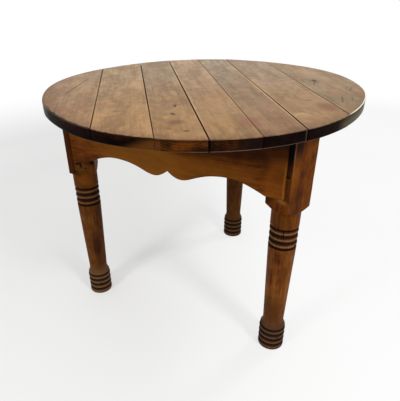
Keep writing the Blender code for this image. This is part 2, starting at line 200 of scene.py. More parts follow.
# Aprons
APRON_ANGLES = {
    "front_apron": math.radians(-120),
    "right_apron": math.radians(0),
    "back_apron": math.radians(120),
}
APRON_LEGS = {
    "front_apron": ("left_leg", "right_leg"),
    "right_apron": ("right_leg", "back_leg"),
    "back_apron": ("back_leg", "left_leg"),
}
CUSP_RISE = 0.022
LOBE_OFFSET = 0.042
LOBE_RISE = 0.002
CROWN_OFFSET = 0.174
CROWN_RISE = 0.033
SCALLOP_HALF_LENGTH = 0.280
CUSP_PULLS = ((0.33, 0.6), (0.33, 0.0))
LOBE_PULLS = ((0.23, 0.0), (0.58, 0.0))
CROWN_PULLS = ((0.39, 0.0), (0.28, 0.42))
CURVE_STEPS = 36
APRON_STATIONS = 169
APRON_ARRIS = 0.0018
APRON_SIDES = (24, 4, 16, 4)
APRON_WAVE = 0.0003
APRON_WAVES = (0, 5, 11)
EDGE_WOBBLE = 0.0005
EDGE_WOBBLE_REACH = 0.012
EDGE_WAVES = (20, 34, 0)
APRON_REVEAL = 0.018
TENON_THICKNESS = 0.010
TENON_LENGTH = 0.037
TENON_TOP_SHOULDER = 0.020
TENON_BOTTOM_SHOULDER = 0.018
TENON_ROOT = 0.004
OPEN_MORTISE_DEPTH = 0.112
OPEN_MORTISE_TOP_EDGE = 0.003
OPEN_MORTISE_LOW_EDGE = 0.008

# Battens, glue blocks and pegs
BATTEN_END_SLOPE = 0.030
BATTEN_END_DEPTH = 0.010
STICK_ARRIS = 0.0012
STICK_CORNER = (STICK_ARRIS, 2)
STICK_WAVE = 0.00025
SIDE_WAVES = (24, 9, 9)
FACE_WAVES = (31, 12, 12)
BATTENS = ("front_batten", "back_batten")
BATTEN_STEP = 0.006
BATTEN_SIDES = (4, 10, 4, 10)
GLUE_BLOCK_STEP = 0.005
GLUE_BLOCK_SIDES = (6, 6, 6, 6)
GLUE_BLOCK_CUT = 0.010
PEG_SIDES = 24
PEG_FACETS = 8
PEG_FLATS = 0.025
PEG_DOME = 0.0007
PEG_DOME_SHARES = (0.25, 0.6, 0.85, 1.0)
PEG_STATIONS = (0.1, 0.3, 0.5, 0.7, 0.9, 1.0)

# First seed of the noise on each kind of piece
LEG_SEED = 10
APRON_SEED = 20
SEED_STEP = 3
BATTEN_SEED = 40
GLUE_BLOCK_SEED = 50

# Camera, fitted to the photograph
CAMERA_PLACE = Vector((-0.15576, -1.26769, 1.03764))
CAMERA_RIGHT = Vector((0.99673, -0.07815, -0.02036))
CAMERA_DOWN = Vector((-0.05677, -0.49872, -0.86490))
CAMERA_FORWARD = Vector((0.05744, 0.86323, -0.50153))
CAMERA_LENS = 37.36
CAMERA_SENSOR = 36.0
CAMERA_SHIFT = (0.0498, 0.0344)

# Light and floor
WORLD_LIGHT = 0.56
LAMP_SIZE = 0.45
LAMP_DISTANCE = 3.0
# Azimuth, elevation and power of each lamp
LAMPS = {
    "right_lamp": (math.radians(-60), math.radians(42), 32.0),
    "left_lamp": (math.radians(-138), math.radians(38), 24.0),
    "back_lamp": (math.radians(26), math.radians(45), 14.0),
}
FLOOR_SIZE = 14.0
FLOOR_SHADE = (238, 238, 237)
FLOOR_CLOUD_SHADE = (235, 235, 234)
FAR_FADE = (1.0, 3.4)
# Near the table the floor's white glow, seen by the camera, grows from the left to the right: painted light
# that brightens the floor's right side and lightens its shadows
RIGHT_FADE = (-0.3, 0.5)
RIGHT_FADE_SHARES = (0.42, 0.80)


# Small helpers


def shade(red, green, blue):
    """Colour as a screen shows it, 0 to 255, for a shader."""
    parts = [c / 255 for c in (red, green, blue)]
    return (*[c / 12.92 if c < 0.04045 else ((c + 0.055) / 1.055) ** 2.4 for c in parts], 1.0)


def turned(points, angle):
    """Points turned about Z."""
    x, y, z = np.asarray(points, float).reshape(-1, 3).T
    c, s = math.cos(angle), math.sin(angle)
    return np.column_stack((c * x - s * y, s * x + c * y, z))


def node_points(node):
    return np.array([v.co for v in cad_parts[node].data.vertices], float)


def node_span(node, angle):
    """Lowest and highest corner of a solid, in a frame turned about Z."""
    points = turned(node_points(node), -angle)
    return points.min(0), points.max(0)


def own_points(piece, angle=0.0, centre=(0, 0, 0)):
    """Points of a piece as seen from a frame that is turned about Z at a centre."""
    vertices = piece.data.vertices
    points = np.zeros(len(vertices) * 3, np.float32)
    vertices.foreach_get("co", points)
    return turned(points.reshape(-1, 3).astype(float) - np.array(centre), -angle)


def turn_from(middle, angles):
    """Angles counted from a middle, up to half a turn either way."""
    return np.angle(np.exp(1j * (angles - middle)))


def ring(radius, angles, z):
    """Points round the Z axis at one height."""
    return np.column_stack((radius * np.cos(angles), radius * np.sin(angles), np.full(len(angles), z)))


def ripple(points, scale, seed):
    """Smooth noise from -1 to 1 at each point. The scale is the number of waves in a metre, each way."""
    places = np.asarray(points, float) * np.asarray(scale, float) + seed
    return np.array([noise.noise(Vector(p)) for p in places])


def curve(start, end, pulls):
    """Cubic curve without its last point. Its pulls, one at each end, are shares of the way across and up."""
    start, end = np.array(start), np.array(end)
    reach = end - start
    first = start + reach * np.array(pulls[0])
    second = end - reach * np.array(pulls[1])
    t = (np.arange(CURVE_STEPS) / CURVE_STEPS)[:, None]
    return start * (1 - t) ** 3 + first * 3 * t * (1 - t) ** 2 + second * 3 * t * t * (1 - t) + end * t**3


def linked(name, data):
    item = bpy.data.objects.new(name, data)
    bpy.context.scene.collection.objects.link(item)
    return item


def new_object(name, points, faces):
    mesh = bpy.data.meshes.new(name)
    mesh.from_pydata([tuple(p) for p in points], [], faces)
    bm = bmesh.new()
    bm.from_mesh(mesh)
    bmesh.ops.recalc_face_normals(bm, faces=bm.faces)
    bm.to_mesh(mesh)
    bm.free()
    return linked(name, mesh)


def skin(name, rings):
    """Closed solid over a row of rings with the same number of points each."""
    rows, count = len(rings), len(rings[0])
    faces = [list(range(count))[::-1], [(rows - 1) * count + i for i in range(count)]]
    for row in range(rows - 1):
        low, high = row * count, (row + 1) * count
        for i in range(count):
            j = (i + 1) % count
            faces.append((low + i, low + j, high + j, high + i))
    return new_object(name, np.concatenate(rings), faces)


def box(name, low, high):
    corners = [(low[0], low[1]), (high[0], low[1]), (high[0], high[1]), (low[0], high[1])]
    return skin(name, [np.array([(x, y, z) for x, y in corners]) for z in (low[2], high[2])])


def place(item, angle, centre=(0, 0, 0)):
    """Sets a new object's points into the table's frame, from one turned about Z."""
    item.data.transform(Matrix.Translation(centre) @ Matrix.Rotation(angle, 4, "Z"))
    return item


def swollen_copy(node):
    """Cutter of a solid's own shape, larger by the fitting gap."""
    bm = bmesh.new()
    bm.from_mesh(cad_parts[node].data)
    bmesh.ops.remove_doubles(bm, verts=bm.verts, dist=FIT_GAP / 10)
    bm.normal_update()
    for vert in bm.verts:
        vert.co += vert.normal * FIT_GAP * math.sqrt(3)
    mesh = bpy.data.meshes.new(node + "_room")
    bm.to_mesh(mesh)
    bm.free()
    return linked(node + "_room", mesh)


def combine(piece, others, operation):
    """Cuts other shapes out of a piece, or unites it with them, and removes them."""
    for other in others:
        step = piece.modifiers.new(other.name, "BOOLEAN")
        step.object = other
        step.operation = operation
        step.solver = "EXACT"
    graph = bpy.context.evaluated_depsgraph_get()
    solid = bpy.data.meshes.new_from_object(piece.evaluated_get(graph))
    piece.modifiers.clear()
    piece.data = solid
    for other in others:
        bpy.data.objects.remove(other)


def dress(piece, node, slot, materials, **fields):
    """Puts a finished piece in a solid's place, with the vectors that its materials read at each point."""
    for name, vectors in fields.items():
        field = piece.data.attributes.new(name, "FLOAT_VECTOR", "POINT")
        field.data.foreach_set("vector", np.asarray(vectors, np.float32).ravel())
    piece.data.materials.clear()
    for material in materials:
        piece.data.materials.append(material)
    piece.data.shade_smooth()
    piece.data.set_sharp_from_angle(angle=SHARP_ANGLE)
    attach(piece, BODY)
    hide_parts(node)


def screws_within(low, high, axis):
    """Batten screws within a piece's span along one axis of the top's own frame."""
    names = [n for n in sorted(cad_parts) if n.startswith("batten_screw")]
    return [n for n in names if low[axis] < node_span(n, TOP_TURN)[0][axis] < high[axis]]


# Apron sizes, in a frame where +X points out, +Y runs along it and the leg is at the +Y end

HALF_SPACING = math.radians(60)
LEG_OUT = Vector((math.cos(HALF_SPACING), math.sin(HALF_SPACING)))
LEG_SIDE = Vector((math.sin(HALF_SPACING), -math.cos(HALF_SPACING)))
BLOCK_CORNER = LEG_OUT * (LEG_CIRCLE_RADIUS + HALF_STOCK) + LEG_SIDE * HALF_STOCK
APRON_LOW, APRON_HIGH = node_span("front_apron", APRON_ANGLES["front_apron"])
APRON_BACK, APRON_FACE = APRON_LOW[0], APRON_HIGH[0]
APRON_BOTTOM = APRON_LOW[2]
TENON_MIDDLE = (APRON_BACK + APRON_FACE) / 2


# Materials

# Share of its scale that each part of the wood has along the grain, and its noise
WOOD_NOISES = {
    "figure": (0.12, (42.0, 3.0, 0.6, 0.8)),
    "streaks": (0.03, (230.0, 4.0, 0.6, 0.4)),
    "fibres": (0.03, (1300.0, 3.0, 0.65)),
    "patches": (0.4, (10.0, 3.0, 0.55, 0.3)),
    "mottle": (0.55, (60.0, 3.0, 0.6)),
}
RINGS_ALONG = 0.07
RINGS_WANDER = 6.0
RELIEF_WEIGHTS = {"fibres": 0.9, "streaks": 0.5, "rings": 0.15}
RELIEF_STRENGTH = 0.6
FINE_RELIEF = 0.0004
WORM_HOLE_CELLS = 130.0
WORM_HOLE_EDGE = (0.13, 0.07)
WORM_HOLE_CHANCE = 0.78
WORM_HOLE_GROUPS = (12.0, 1.0)
WORM_HOLE_GROUP_EDGE = (0.60, 0.66)


class Look:
    """One material being made out of shader nodes.

    Its fields are named values over the surface. A mask is a number, a socket, the name of a field, or a row.
    A row has the name of a field, the values at which the mask is 0 and 1, and its range. The row of a spot
    has a middle, a size and a turn. A layer is a shade with the masks whose product is its share.
    """

    def __init__(self, name, specular):
        self.material = bpy.data.materials.new(name)
        self.material.use_nodes = True
        self.tree = self.material.node_tree
        self.shader = self.tree.nodes["Principled BSDF"]
        self.shader.inputs["Specular IOR Level"].default_value = specular
        self.fields = {}
        self.place = self.grain = self.colour = None

    def feed(self, socket, value):
        if isinstance(value, bpy.types.NodeSocket):
            self.tree.links.new(value, socket)
        else:
            socket.default_value = value

    def node(self, kind, inputs, **settings):
        made = self.tree.nodes.new("ShaderNode" + kind)
        for key, value in settings.items():
            setattr(made, key, value)
        for key, value in inputs.items():
            self.feed(made.inputs[key], value)
        return made

    def attribute(self, name):
        return self.node("Attribute", {}, attribute_name=name).outputs["Vector"]

    def object_place(self):
        return self.node("TexCoord", {}).outputs["Object"]

    def name_parts(self, vector, *names):
        """Makes the three parts of a vector fields."""
        self.fields.update(zip(names, self.node("SeparateXYZ", {0: vector}).outputs))

    def maths(self, operation, *values):
        return self.node("Math", dict(enumerate(values)), operation=operation).outputs[0]

    def vector_math(self, operation, a, b):
        return self.node("VectorMath", {0: a, 1: b}, operation=operation).outputs[0]

    def length(self, vector):
        return self.node("VectorMath", {0: vector}, operation="LENGTH").outputs["Value"]

    def noise(self, vector, scale, detail=2.0, roughness=0.5, distortion=0.0):
        inputs = {"Vector": vector, "Scale": scale, "Detail": detail, "Roughness": roughness}
        return self.node("TexNoise", {**inputs, "Distortion": distortion}).outputs[0]

    def rings(self, vector, spacing, wander):
        """Growth rings round the third axis, so that they run along a board and curve over its end."""
        inputs = {"Vector": vector, "Scale": math.tau / 20 / spacing, "Distortion": wander}
        inputs.update({"Detail": 2.0, "Detail Scale": 0.16})
        settings = {"wave_type": "RINGS", "rings_direction": "Z", "wave_profile": "SIN"}
        return self.node("TexWave", inputs, **settings).outputs["Fac"]

    def span(self, value, low, high, to_low=0.0, to_high=1.0):
        inputs = {0: value, 1: low, 2: high, 3: to_low, 4: to_high}
        return self.node("MapRange", inputs, interpolation_type="SMOOTHSTEP").outputs[0]

    def mix(self, share, a, b, blend="MIX"):
        return self.node("Mix", {0: share, 6: a, 7: b}, data_type="RGBA", blend_type=blend).outputs[2]

    def ramp(self, value, stops):
        node = self.node("ValToRGB", {0: value})
        elements = node.color_ramp.elements
        while len(elements) < len(stops):
            elements.new(0.5)
        for element, (at, tint) in zip(elements, stops):
            element.position = at
            element.color = shade(*tint)
        return node.outputs[0]

    def total(self, weights):
        """Sum of shares of several fields about the middle value of one half."""
        value = 0.5
        for name, weight in weights.items():
            value = self.maths("MULTIPLY_ADD", self.maths("ADD", self.fields[name], -0.5), weight, value)
        return value

    def local(self, centre, size, turn=0.0):
        """Place as seen from a spot, whose edge is at a length of 1."""
        inputs = {"Vector": self.place, "Location": centre, "Rotation": (0.0, turn, 0.0), "Scale": size}
        return self.node("Mapping", inputs, vector_type="TEXTURE").outputs[0]

    def mask(self, part):
        if isinstance(part, str):
            return self.fields[part]
        if not isinstance(part, tuple):
            return part
        if part[0] == "spot":
            return self.span(self.length(self.local(*part[1:])), 1.0, 0.25)
        return self.span(self.fields[part[0]], *part[1:])

    def paint(self, tint, *masks):
        """Lays a shade over the colour so far, by the product of masks."""
        share = self.mask(masks[0])
        for part in masks[1:]:
            share = self.maths("MULTIPLY", share, self.mask(part))
        self.colour = self.mix(share, self.colour, shade(*tint))

    def paint_all(self, layers):
        for layer in layers:
            self.paint(*layer)

    def wood(self, shift, pith, spacing, weights):
        """Fields of wood: its light and dark tone, its relief, its patches and its fibres.

        The weights are those of its growth rings, figure, streaks, fibres, patches and mottle.
        """
        self.place = self.attribute("grain")
        self.grain = self.vector_math("ADD", self.place, shift)

        def drawn_out(vector, share):
            return self.vector_math("MULTIPLY", vector, (1.0, 1.0, share))

        about_pith = self.vector_math("SUBTRACT", self.place, pith)
        self.fields["rings"] = self.rings(drawn_out(about_pith, RINGS_ALONG), spacing, RINGS_WANDER)
        for name, (share, settings) in WOOD_NOISES.items():
            self.fields[name] = self.noise(drawn_out(self.grain, share), *settings)
        self.fields["tone"] = self.total(dict(zip(("rings", *WOOD_NOISES), weights)))
        self.fields["relief"] = self.total(RELIEF_WEIGHTS)

    def worm_holes(self):
        """Scattered dark dots, in groups."""
        cells = self.node("TexVoronoi", {"Vector": self.place, "Scale": WORM_HOLE_CELLS}).outputs
        self.name_parts(cells["Color"], "chance", "second_chance", "third_chance")
        dot = self.span(cells["Distance"], *WORM_HOLE_EDGE)
        chosen = self.maths("GREATER_THAN", self.fields["chance"], WORM_HOLE_CHANCE)
        groups = self.span(self.noise(self.place, *WORM_HOLE_GROUPS), *WORM_HOLE_GROUP_EDGE)
        return self.maths("MULTIPLY", self.maths("MULTIPLY", dot, chosen), groups)

    def finish(self, roughness, relief=FINE_RELIEF):
        """Sets the roughness by a mask, and the depth of the fine relief."""
        self.feed(self.shader.inputs["Base Color"], self.colour)
        self.feed(self.shader.inputs["Roughness"], self.mask(roughness))
        inputs = {"Height": self.fields["relief"], "Distance": relief, "Strength": RELIEF_STRENGTH}
        self.feed(self.shader.inputs["Normal"], self.node("Bump", inputs).outputs[0])
        return self.material


def patchy(low, high):
    """Mask of a roughness that changes in patches."""
    return ("patches", 0.3, 0.7, low, high)


# Upper faces of the boards

TOP_GLOSS = 0.04
TOP_RELIEF = 0.0003
TOP_PITH_RISE = 0.05
TOP_WEIGHTS = (0.05, 0.7, 0.5, 0.3, 1.5, 0.9)
BOARD_RINGS = 0.006
BOARD_SHIFT = np.array((0.31, 0.0, 1.7))
# Shade of each board at the front and at the back. The lighter, greyer back shade is partly the board's own
# colour and partly painted sheen of the white surroundings
TOP_SHADES = (
    ((149, 115, 83), (162, 136, 108)),
    ((156, 121, 82), (167, 141, 109)),
    ((150, 115, 77), (157, 136, 109)),
    ((145, 112, 76), (177, 149, 119)),
    ((133, 103, 75), (160, 142, 118)),
    ((144, 113, 79), (164, 142, 119)),
    ((135, 113, 85), (158, 133, 104)),
)
DARK_GRAIN = (0.86, 0.83, 0.78)
LIGHT_GRAIN = (1.12, 1.13, 1.16)
# Shade, place in the noise, stretch across the board, noise and mask of the clouds on all boards
TOP_CLOUDS = (
    ((152, 108, 80), (5.0, 0.0, 3.0), 1.0, (14.0, 2.0, 0.5), (0.50, 0.72, 0.0, 0.50)),
    ((134, 112, 84), (9.0, 0.0, 7.0), 1.0, (11.0, 3.0, 0.5), (0.50, 0.74, 0.0, 0.60)),
    ((118, 88, 58), (3.0, 0.0, 1.0), 0.3, (60.0, 3.0, 0.6), (0.55, 0.74, 0.0, 0.18)),
)
# Dirt in each joint, and how far the arris of the board left and right of it is worn
JOINT_LOOKS = (
    ((66, 38, 16), 0.4, 0.25),
    ((38, 15, 2), 0.15, 0.12),
    ((40, 17, 4), 0.2, 0.80),
    ((92, 62, 38), 0.1, 0.1),
    ((70, 42, 20), 1.0, 0.75),
    ((50, 28, 12), 0.15, 0.3),
)
# Place across and along, half width, half length, turn, shade and strength of each mark on a board
BOARD_SPOTS = {
    1: [(-0.375, 0.085, 0.0036, 0.150, 0.26, (92, 64, 36), 0.9)],
    2: [
        (-0.247, -0.211, 0.026, 0.011, 0.0, (122, 90, 58), 0.6),
        (-0.215, 0.000, 0.036, 0.070, 0.0, (120, 94, 68), 0.35),
    ],
    3: [
        (-0.098, -0.191, 0.0058, 0.018, 0.2, (64, 38, 18), 1.0),
        (-0.111, -0.261, 0.0075, 0.014, -0.5, (60, 34, 14), 1.0),
        (-0.094, -0.393, 0.011, 0.011, 0.3, (100, 64, 32), 0.9),
        (-0.129, -0.372, 0.011, 0.011, 0.0, (126, 88, 52), 0.7),
        (-0.111, -0.327, 0.030, 0.026, 0.0, (116, 84, 60), 0.8),
        (-0.128, -0.285, 0.012, 0.022, 0.4, (180, 144, 100), 0.6),
        (-0.135, -0.160, 0.010, 0.012, 0.0, (136, 108, 80), 0.6),
    ],
    4: [
        (-0.006, -0.230, 0.032, 0.024, 0.0, (166, 122, 94), 0.7),
        (-0.010, -0.330, 0.045, 0.055, 0.0, (176, 142, 98), 0.3),
        (0.048, -0.352, 0.022, 0.060, 0.0, (138, 96, 74), 0.8),
    ],
    5: [
        (0.111, 0.214, 0.006, 0.013, 0.0, (96, 72, 50), 0.8),
        (0.068, -0.354, 0.016, 0.055, 0.0, (134, 94, 74), 0.8),
        (0.105, 0.000, 0.045, 0.060, 0.0, (118, 94, 70), 0.35),
    ],
    6: [
        (0.253, -0.202, 0.020, 0.016, 0.0, (128, 92, 60), 0.6),
        (0.279, -0.274, 0.042, 0.058, 0.0, (128, 92, 70), 0.95),
        (0.300, -0.318, 0.007, 0.007, 0.0, (112, 70, 44), 0.8),
        (0.192, -0.325, 0.028, 0.034, 0.0, (172, 140, 100), 0.55),
    ],
    7: [
        (0.357, 0.008, 0.026, 0.036, 0.0, (126, 100, 80), 0.75),
        (0.358, 0.011, 0.0105, 0.016, 0.0, (52, 32, 24), 1.0),
        (0.3475, -0.016, 0.0045, 0.034, 0.40, (92, 64, 50), 0.8),
        (0.345, -0.213, 0.0038, 0.052, 0.43, (84, 60, 36), 0.8),
        (0.416, -0.115, 0.0034, 0.038, 0.55, (92, 68, 46), 0.7),
        (0.372, -0.215, 0.0034, 0.032, 0.5, (96, 72, 50), 0.7),
        (0.402, -0.162, 0.014, 0.020, 0.0, (124, 96, 80), 0.7),
        (0.368, -0.090, 0.022, 0.008, 0.2, (112, 90, 66), 0.6),
    ],
}
SPOT_DEPTH = 0.05
# Board, middle and size of a curved streak of light figure, and its layer
ARCH_BOARD = 6
ARCH_PLACE = (0.192, 0.0, -0.340)
ARCH_SIZE = (0.021, SPOT_DEPTH, 0.027)
ARCH_LAYER = (
    (196, 164, 118),
    ("arch", 0.60, 0.86),
    ("arch", 1.12, 0.94),
    ("arch_rise", 0.05, 0.5),
    ("fibres", 0.35, 0.60, 0.15, 0.60),
)
# How strongly a painted sheen lightens each board in a band across its front half, with the shade and the
# stretch
PAINTED_SHEEN_SHARES = (0.0, 0.05, 0.10, 0.14, 0.16, 0.16, 0.0)
PAINTED_SHEEN_LAYER = ((198, 166, 126), ("along", -0.36, -0.26), ("along", -0.13, -0.22))
WORN_ARRIS_SHADE = (198, 162, 118)
# Share and width of the painted shade that darkens each board towards its front rim, share of the rim's dark
# varnish on its face, and the range of that varnish's ragged width
TOP_EDGES = (
    (0.42, 0.066, 0.95, (0.005, 0.010)),
    (0.36, 0.045, 0.95, (0.001, 0.006)),
    (0.36, 0.045, 0.55, (0.0, 0.006)),
    (0.36, 0.045, 0.45, (0.0, 0.006)),
    (0.38, 0.045, 0.6, (0.0, 0.006)),
    (0.40, 0.045, 0.5, (0.0, 0.006)),
    (0.34, 0.030, 0.2, (0.0, 0.006)),
)
RIM_SHADOW_TINT = (94, 66, 46)
VARNISH_SHADE = (36, 19, 10)
RIM_SHADOWED_STRETCH = ("along", -0.02, -0.20)
# The first board's own stretches: its painted rim shade, its greyed end, which is a painted highlight near
# the rim, and its varnish
FIRST_RIM_SHADOWED_STRETCH = ("along", 0.25, 0.10)
FIRST_END_HIGHLIGHT_LAYER = ((112, 100, 86), ("rim", 0.010, 0.004, 0.0, 0.5), ("along", -0.17, -0.12))
FIRST_VARNISH_STRETCH = ("along", -0.08, -0.20, 0.12, 1.0)
# The last board's painted highlight along its upper arris
ARRIS_HIGHLIGHT_LAYER = (
    (232, 224, 208),
    ("along", -0.36, -0.31),
    ("along", -0.06, -0.11),
    ("rim", 0.0036, 0.0020, 0.0, 0.95),
)
RAGGED_NOISE = (36.0, 5.0, 0.75)


def joints_of(number):
    """Field and number of each joint beside a board, and the side of the joint that the board is on."""
    both = (("from_left", number - 1, 2), ("from_right", number, 1))
    return [joint for joint in both if 0 < joint[1] < BOARD_COUNT]


def board_look(name, specular, number, pith, weights):
    """A board's wood and its fields: places on the board, and distances from its joints and from the rim."""
    look = Look(f"board_{number}_{name}", specular)
    look.wood(tuple(BOARD_SHIFT * number), pith, BOARD_RINGS, weights)
    look.name_parts(look.place, "across", "depth", "along")
    look.name_parts(look.attribute("edge"), "from_left", "from_right", "rim")
    look.fields["ragged"] = look.noise(look.place, *RAGGED_NOISE)
    return look


def top_finish(number, left, right):
    """Waxed and worn upper face of a board, dark with dirt in its joints, with painted sheen, painted
    highlights and painted shade towards its front rim.
    """
    pith = ((left + right) / 2, -TOP_PITH_RISE, 0.0)
    look = board_look("top", TOP_GLOSS, number, pith, TOP_WEIGHTS)
    ends = []
    for middle in TOP_SHADES[number - 1]:
        low, high = (tuple(np.multiply(middle, f)) for f in (DARK_GRAIN, LIGHT_GRAIN))
        ends.append(look.ramp(look.fields["tone"], [(0.25, low), (0.5, middle), (0.75, high)]))
    # Blends from the front shade to the back shade, whose lighter grey is partly painted sheen
    look.colour = look.mix(look.mask(("along", -0.32, 0.36)), *ends)
    for tint, moved, across, settings, values in TOP_CLOUDS:
        cloud = look.vector_math("MULTIPLY", look.vector_math("ADD", look.grain, moved), (across, 1.0, 1.0))
        look.paint(tint, look.span(look.noise(cloud, *settings), *values))
    # Painted sheen in a band across the board's front half
    look.paint(*PAINTED_SHEEN_LAYER, PAINTED_SHEEN_SHARES[number - 1])
    for across, along, half_width, half_length, turn, tint, strength in BOARD_SPOTS[number]:
        spot = ("spot", (across, 0.0, along), (half_width, SPOT_DEPTH, half_length), turn)
        look.paint(tint, spot, ("fibres", 0.25, 0.55, 0.7, 1.0), strength)
    if number == ARCH_BOARD:
        local = look.local(ARCH_PLACE, ARCH_SIZE)
        look.fields["arch"] = look.length(local)
        look.name_parts(local, "arch_across", "arch_depth", "arch_rise")
        look.paint(*ARCH_LAYER)
    for distance, joint, side in joints_of(number):
        dirt = JOINT_LOOKS[joint - 1][0]
        worn = (distance, 0.0075, 0.0020, 0.0, JOINT_LOOKS[joint - 1][side])
        uneven = ("patches", 0.35, 0.6, 0.4, 1.0)
        look.paint(WORN_ARRIS_SHADE, worn, uneven, ("along", -0.40, -0.26, 0.25, 1.0))
        look.paint(dirt, (distance, 0.0017, 0.0005))
    rim_shadow, rim_shadow_width, varnish, widths = TOP_EDGES[number - 1]
    first = number == 1
    rim_shadowed_stretch = FIRST_RIM_SHADOWED_STRETCH if first else RIM_SHADOWED_STRETCH
    # Painted shade that darkens the board towards its front rim
    look.paint(RIM_SHADOW_TINT, ("rim", rim_shadow_width, 0.002, 0.0, rim_shadow), rim_shadowed_stretch)
    if first:
        # Painted highlight near the rim at the left end of the top
        look.paint(*FIRST_END_HIGHLIGHT_LAYER)
    ragged_width = look.mask(("ragged", 0.35, 0.75, *widths))
    look.fields["past_varnish"] = look.maths("SUBTRACT", look.fields["rim"], ragged_width)
    stretch = [FIRST_VARNISH_STRETCH] if first else []
    look.paint(VARNISH_SHADE, ("past_varnish", 0.0012, -0.0008, 0.0, varnish), *stretch)
    if number == BOARD_COUNT:
        # Painted highlight along the last board's upper arris
        look.paint(*ARRIS_HIGHLIGHT_LAYER)
    return look.finish(patchy(0.40, 0.54), TOP_RELIEF)


# Rims of the boards

RIM_GLOSS = 0.010
RIM_WEIGHTS = (0.2, 0.5, 0.3, 0.3, 1.1, 1.0)
RIM_SHADES = ((12, 6, 5), (12, 5, 5), (56, 29, 8), (42, 21, 7), (15, 7, 6), (16, 8, 6), (28, 20, 13))
DARK_RIM = (0.55, 0.5, 0.6)
LIGHT_RIM = (1.6, 1.6, 1.5)
# Middle of the growth rings as a share of the board's width from its left, and its height above the board
RIM_PITHS = ((0.5, 0.06), (0.4, 0.05), (0.55, 0.09), (0.45, 0.07), (0.5, 0.05), (0.4, 0.05), (0.3, 0.05))
# How dark each joint shows on the rim
RIM_JOINTS = (0.3, 0.15, 1.0, 0.3, 0.6, 0.2)
RIM_JOINT_SHADE = (10, 5, 4)
# How strongly a painted highlight lies along the lower arris of each board's rim
LOWER_ARRIS_HIGHLIGHT_SHARES = (0.0, 0.05, 0.55, 0.65, 0.45, 0.2, 0.1)
LOWER_ARRIS_HIGHLIGHT_LAYER = (
    (120, 98, 92),
    ("depth", BOARD_THICKNESS - 0.0028, BOARD_THICKNESS - 0.0010),
    ("fibres", 0.3, 0.6, 0.6, 1.0),
)
# Board with a stain on its rim, the stain's distance from the right side, depth, size, shade and share,
# and the stretch of that board's lower arris that carries the painted highlight
STAINED_RIM = 3
STAIN_FROM_RIGHT = 0.012
STAIN_DEPTH = BOARD_THICKNESS * 0.90
STAIN_SIZE = (0.056, 0.018, 2.0)
STAIN_SHADE = (22, 11, 7)
STAIN_SHARE = 0.85
PAST_STAIN = ("from_left", 0.055, 0.085)
# Layers of each board's rim: mottled varnish, bare patches, dark upper edges and pale ends. The first board's
# grey end is painted reflection; the pale ends of the sixth and seventh boards are partly dust and partly
# painted reflection
RIM_MOTTLE = ((50, 20, 6), ("ragged", 0.42, 0.62, 0.0, 0.55), ("depth", 0.018, 0.005))
DARK_UPPER_EDGE = ((30, 13, 5), ("depth", 0.0075, 0.0035, 0.0, 0.55))
# Paler towards the rim's lower edge: painted reflection
PALER_DOWN = ("depth", 0.003, 0.019, 0.45, 1.0)
RIM_LAYERS = {
    1: [RIM_MOTTLE, ((112, 104, 92), ("along", -0.19, -0.09, 0.0, 0.85), ("along", 0.16, 0.04))],
    2: [RIM_MOTTLE, ((84, 50, 17), ("bare_low", 0.030, -0.022, 0.0, 0.92)), DARK_UPPER_EDGE],
    3: [((92, 54, 26), ("from_left", 0.0135, 0.0115, 0.0, 0.5)), DARK_UPPER_EDGE],
    4: [
        ((24, 13, 12), ("from_left", 0.045, 0.095)),
        ((24, 13, 8), ("from_left", 0.012, 0.004, 0.0, 0.6)),
        DARK_UPPER_EDGE,
    ],
    5: [],
    6: [((104, 94, 74), ("from_right", 0.050, 0.004, 0.0, 0.65), ("along", 0.0, -0.1), PALER_DOWN)],
    7: [((114, 104, 82), ("along", -0.42, -0.22, 0.25, 0.95), ("along", 0.10, -0.04), PALER_DOWN)],
}
# Layers that lie over the joints' dirt
LAST_RIM_LAYERS = {5: [((104, 96, 76), ("from_right", 0.0042, 0.0020), ("along", 0.0, -0.1), 0.40)]}


def rim_finish(number, left, right):
    """Sawn rim of a board with a dark old varnish, which shows its end grain where it is thin, with painted
    reflection on its pale ends and a painted highlight along its lower arris.
    """
    share, rise = RIM_PITHS[number - 1]
    pith = (left + (right - left) * share, -rise, 0.0)
    look = board_look("rim", RIM_GLOSS, number, pith, RIM_WEIGHTS)
    middle = RIM_SHADES[number - 1]
    low, high = (tuple(np.multiply(middle, f)) for f in (DARK_RIM, LIGHT_RIM))
    look.colour = look.ramp(look.fields["tone"], [(0.25, low), (0.5, middle), (0.8, high)])
    twice_down = look.maths("MULTIPLY", look.fields["depth"], 2.0)
    look.fields["bare_low"] = look.maths("SUBTRACT", look.fields["from_right"], twice_down)
    if number == STAINED_RIM:
        stain = ("spot", (right - STAIN_FROM_RIGHT, STAIN_DEPTH, 0.0), STAIN_SIZE)
        look.paint(STAIN_SHADE, stain, STAIN_SHARE)
    look.paint_all(RIM_LAYERS[number])
    stretch = [PAST_STAIN] if number == STAINED_RIM else []
    # Painted highlight along the rim's lower arris
    look.paint(*LOWER_ARRIS_HIGHLIGHT_LAYER, *stretch, LOWER_ARRIS_HIGHLIGHT_SHARES[number - 1])
    for distance, joint, _ in joints_of(number):
        look.paint(RIM_JOINT_SHADE, (distance, 0.0030, 0.0010, 0.0, RIM_JOINTS[joint - 1]))
    look.paint_all(LAST_RIM_LAYERS.get(number, []))
    return look.finish(patchy(0.36, 0.52))


# Wood of the aprons

APRON_GLOSS = 0.03
APRON_RINGS = 0.011
APRON_SHIFT = np.array((0.17, 0.0, 1.3))
APRON_WEIGHTS = (0.05, 0.45, 0.55, 0.35, 1.1, 0.6)
APRON_STOPS = ((0.2, (64, 27, 3)), (0.42, (98, 50, 9)), (0.58, (114, 63, 13)), (0.85, (138, 82, 22)))
APRON_PITH = (0.66, 0.30, 0.0)
TOP_SHADOW_SLOPE = 0.08
SMUDGE = ("spot", (FRAME_TOP - 0.084, APRON_FACE, 0.280), (0.034, 0.05, 0.018))
TENON_CHEEK = ("past", 0.0004, -0.0010)
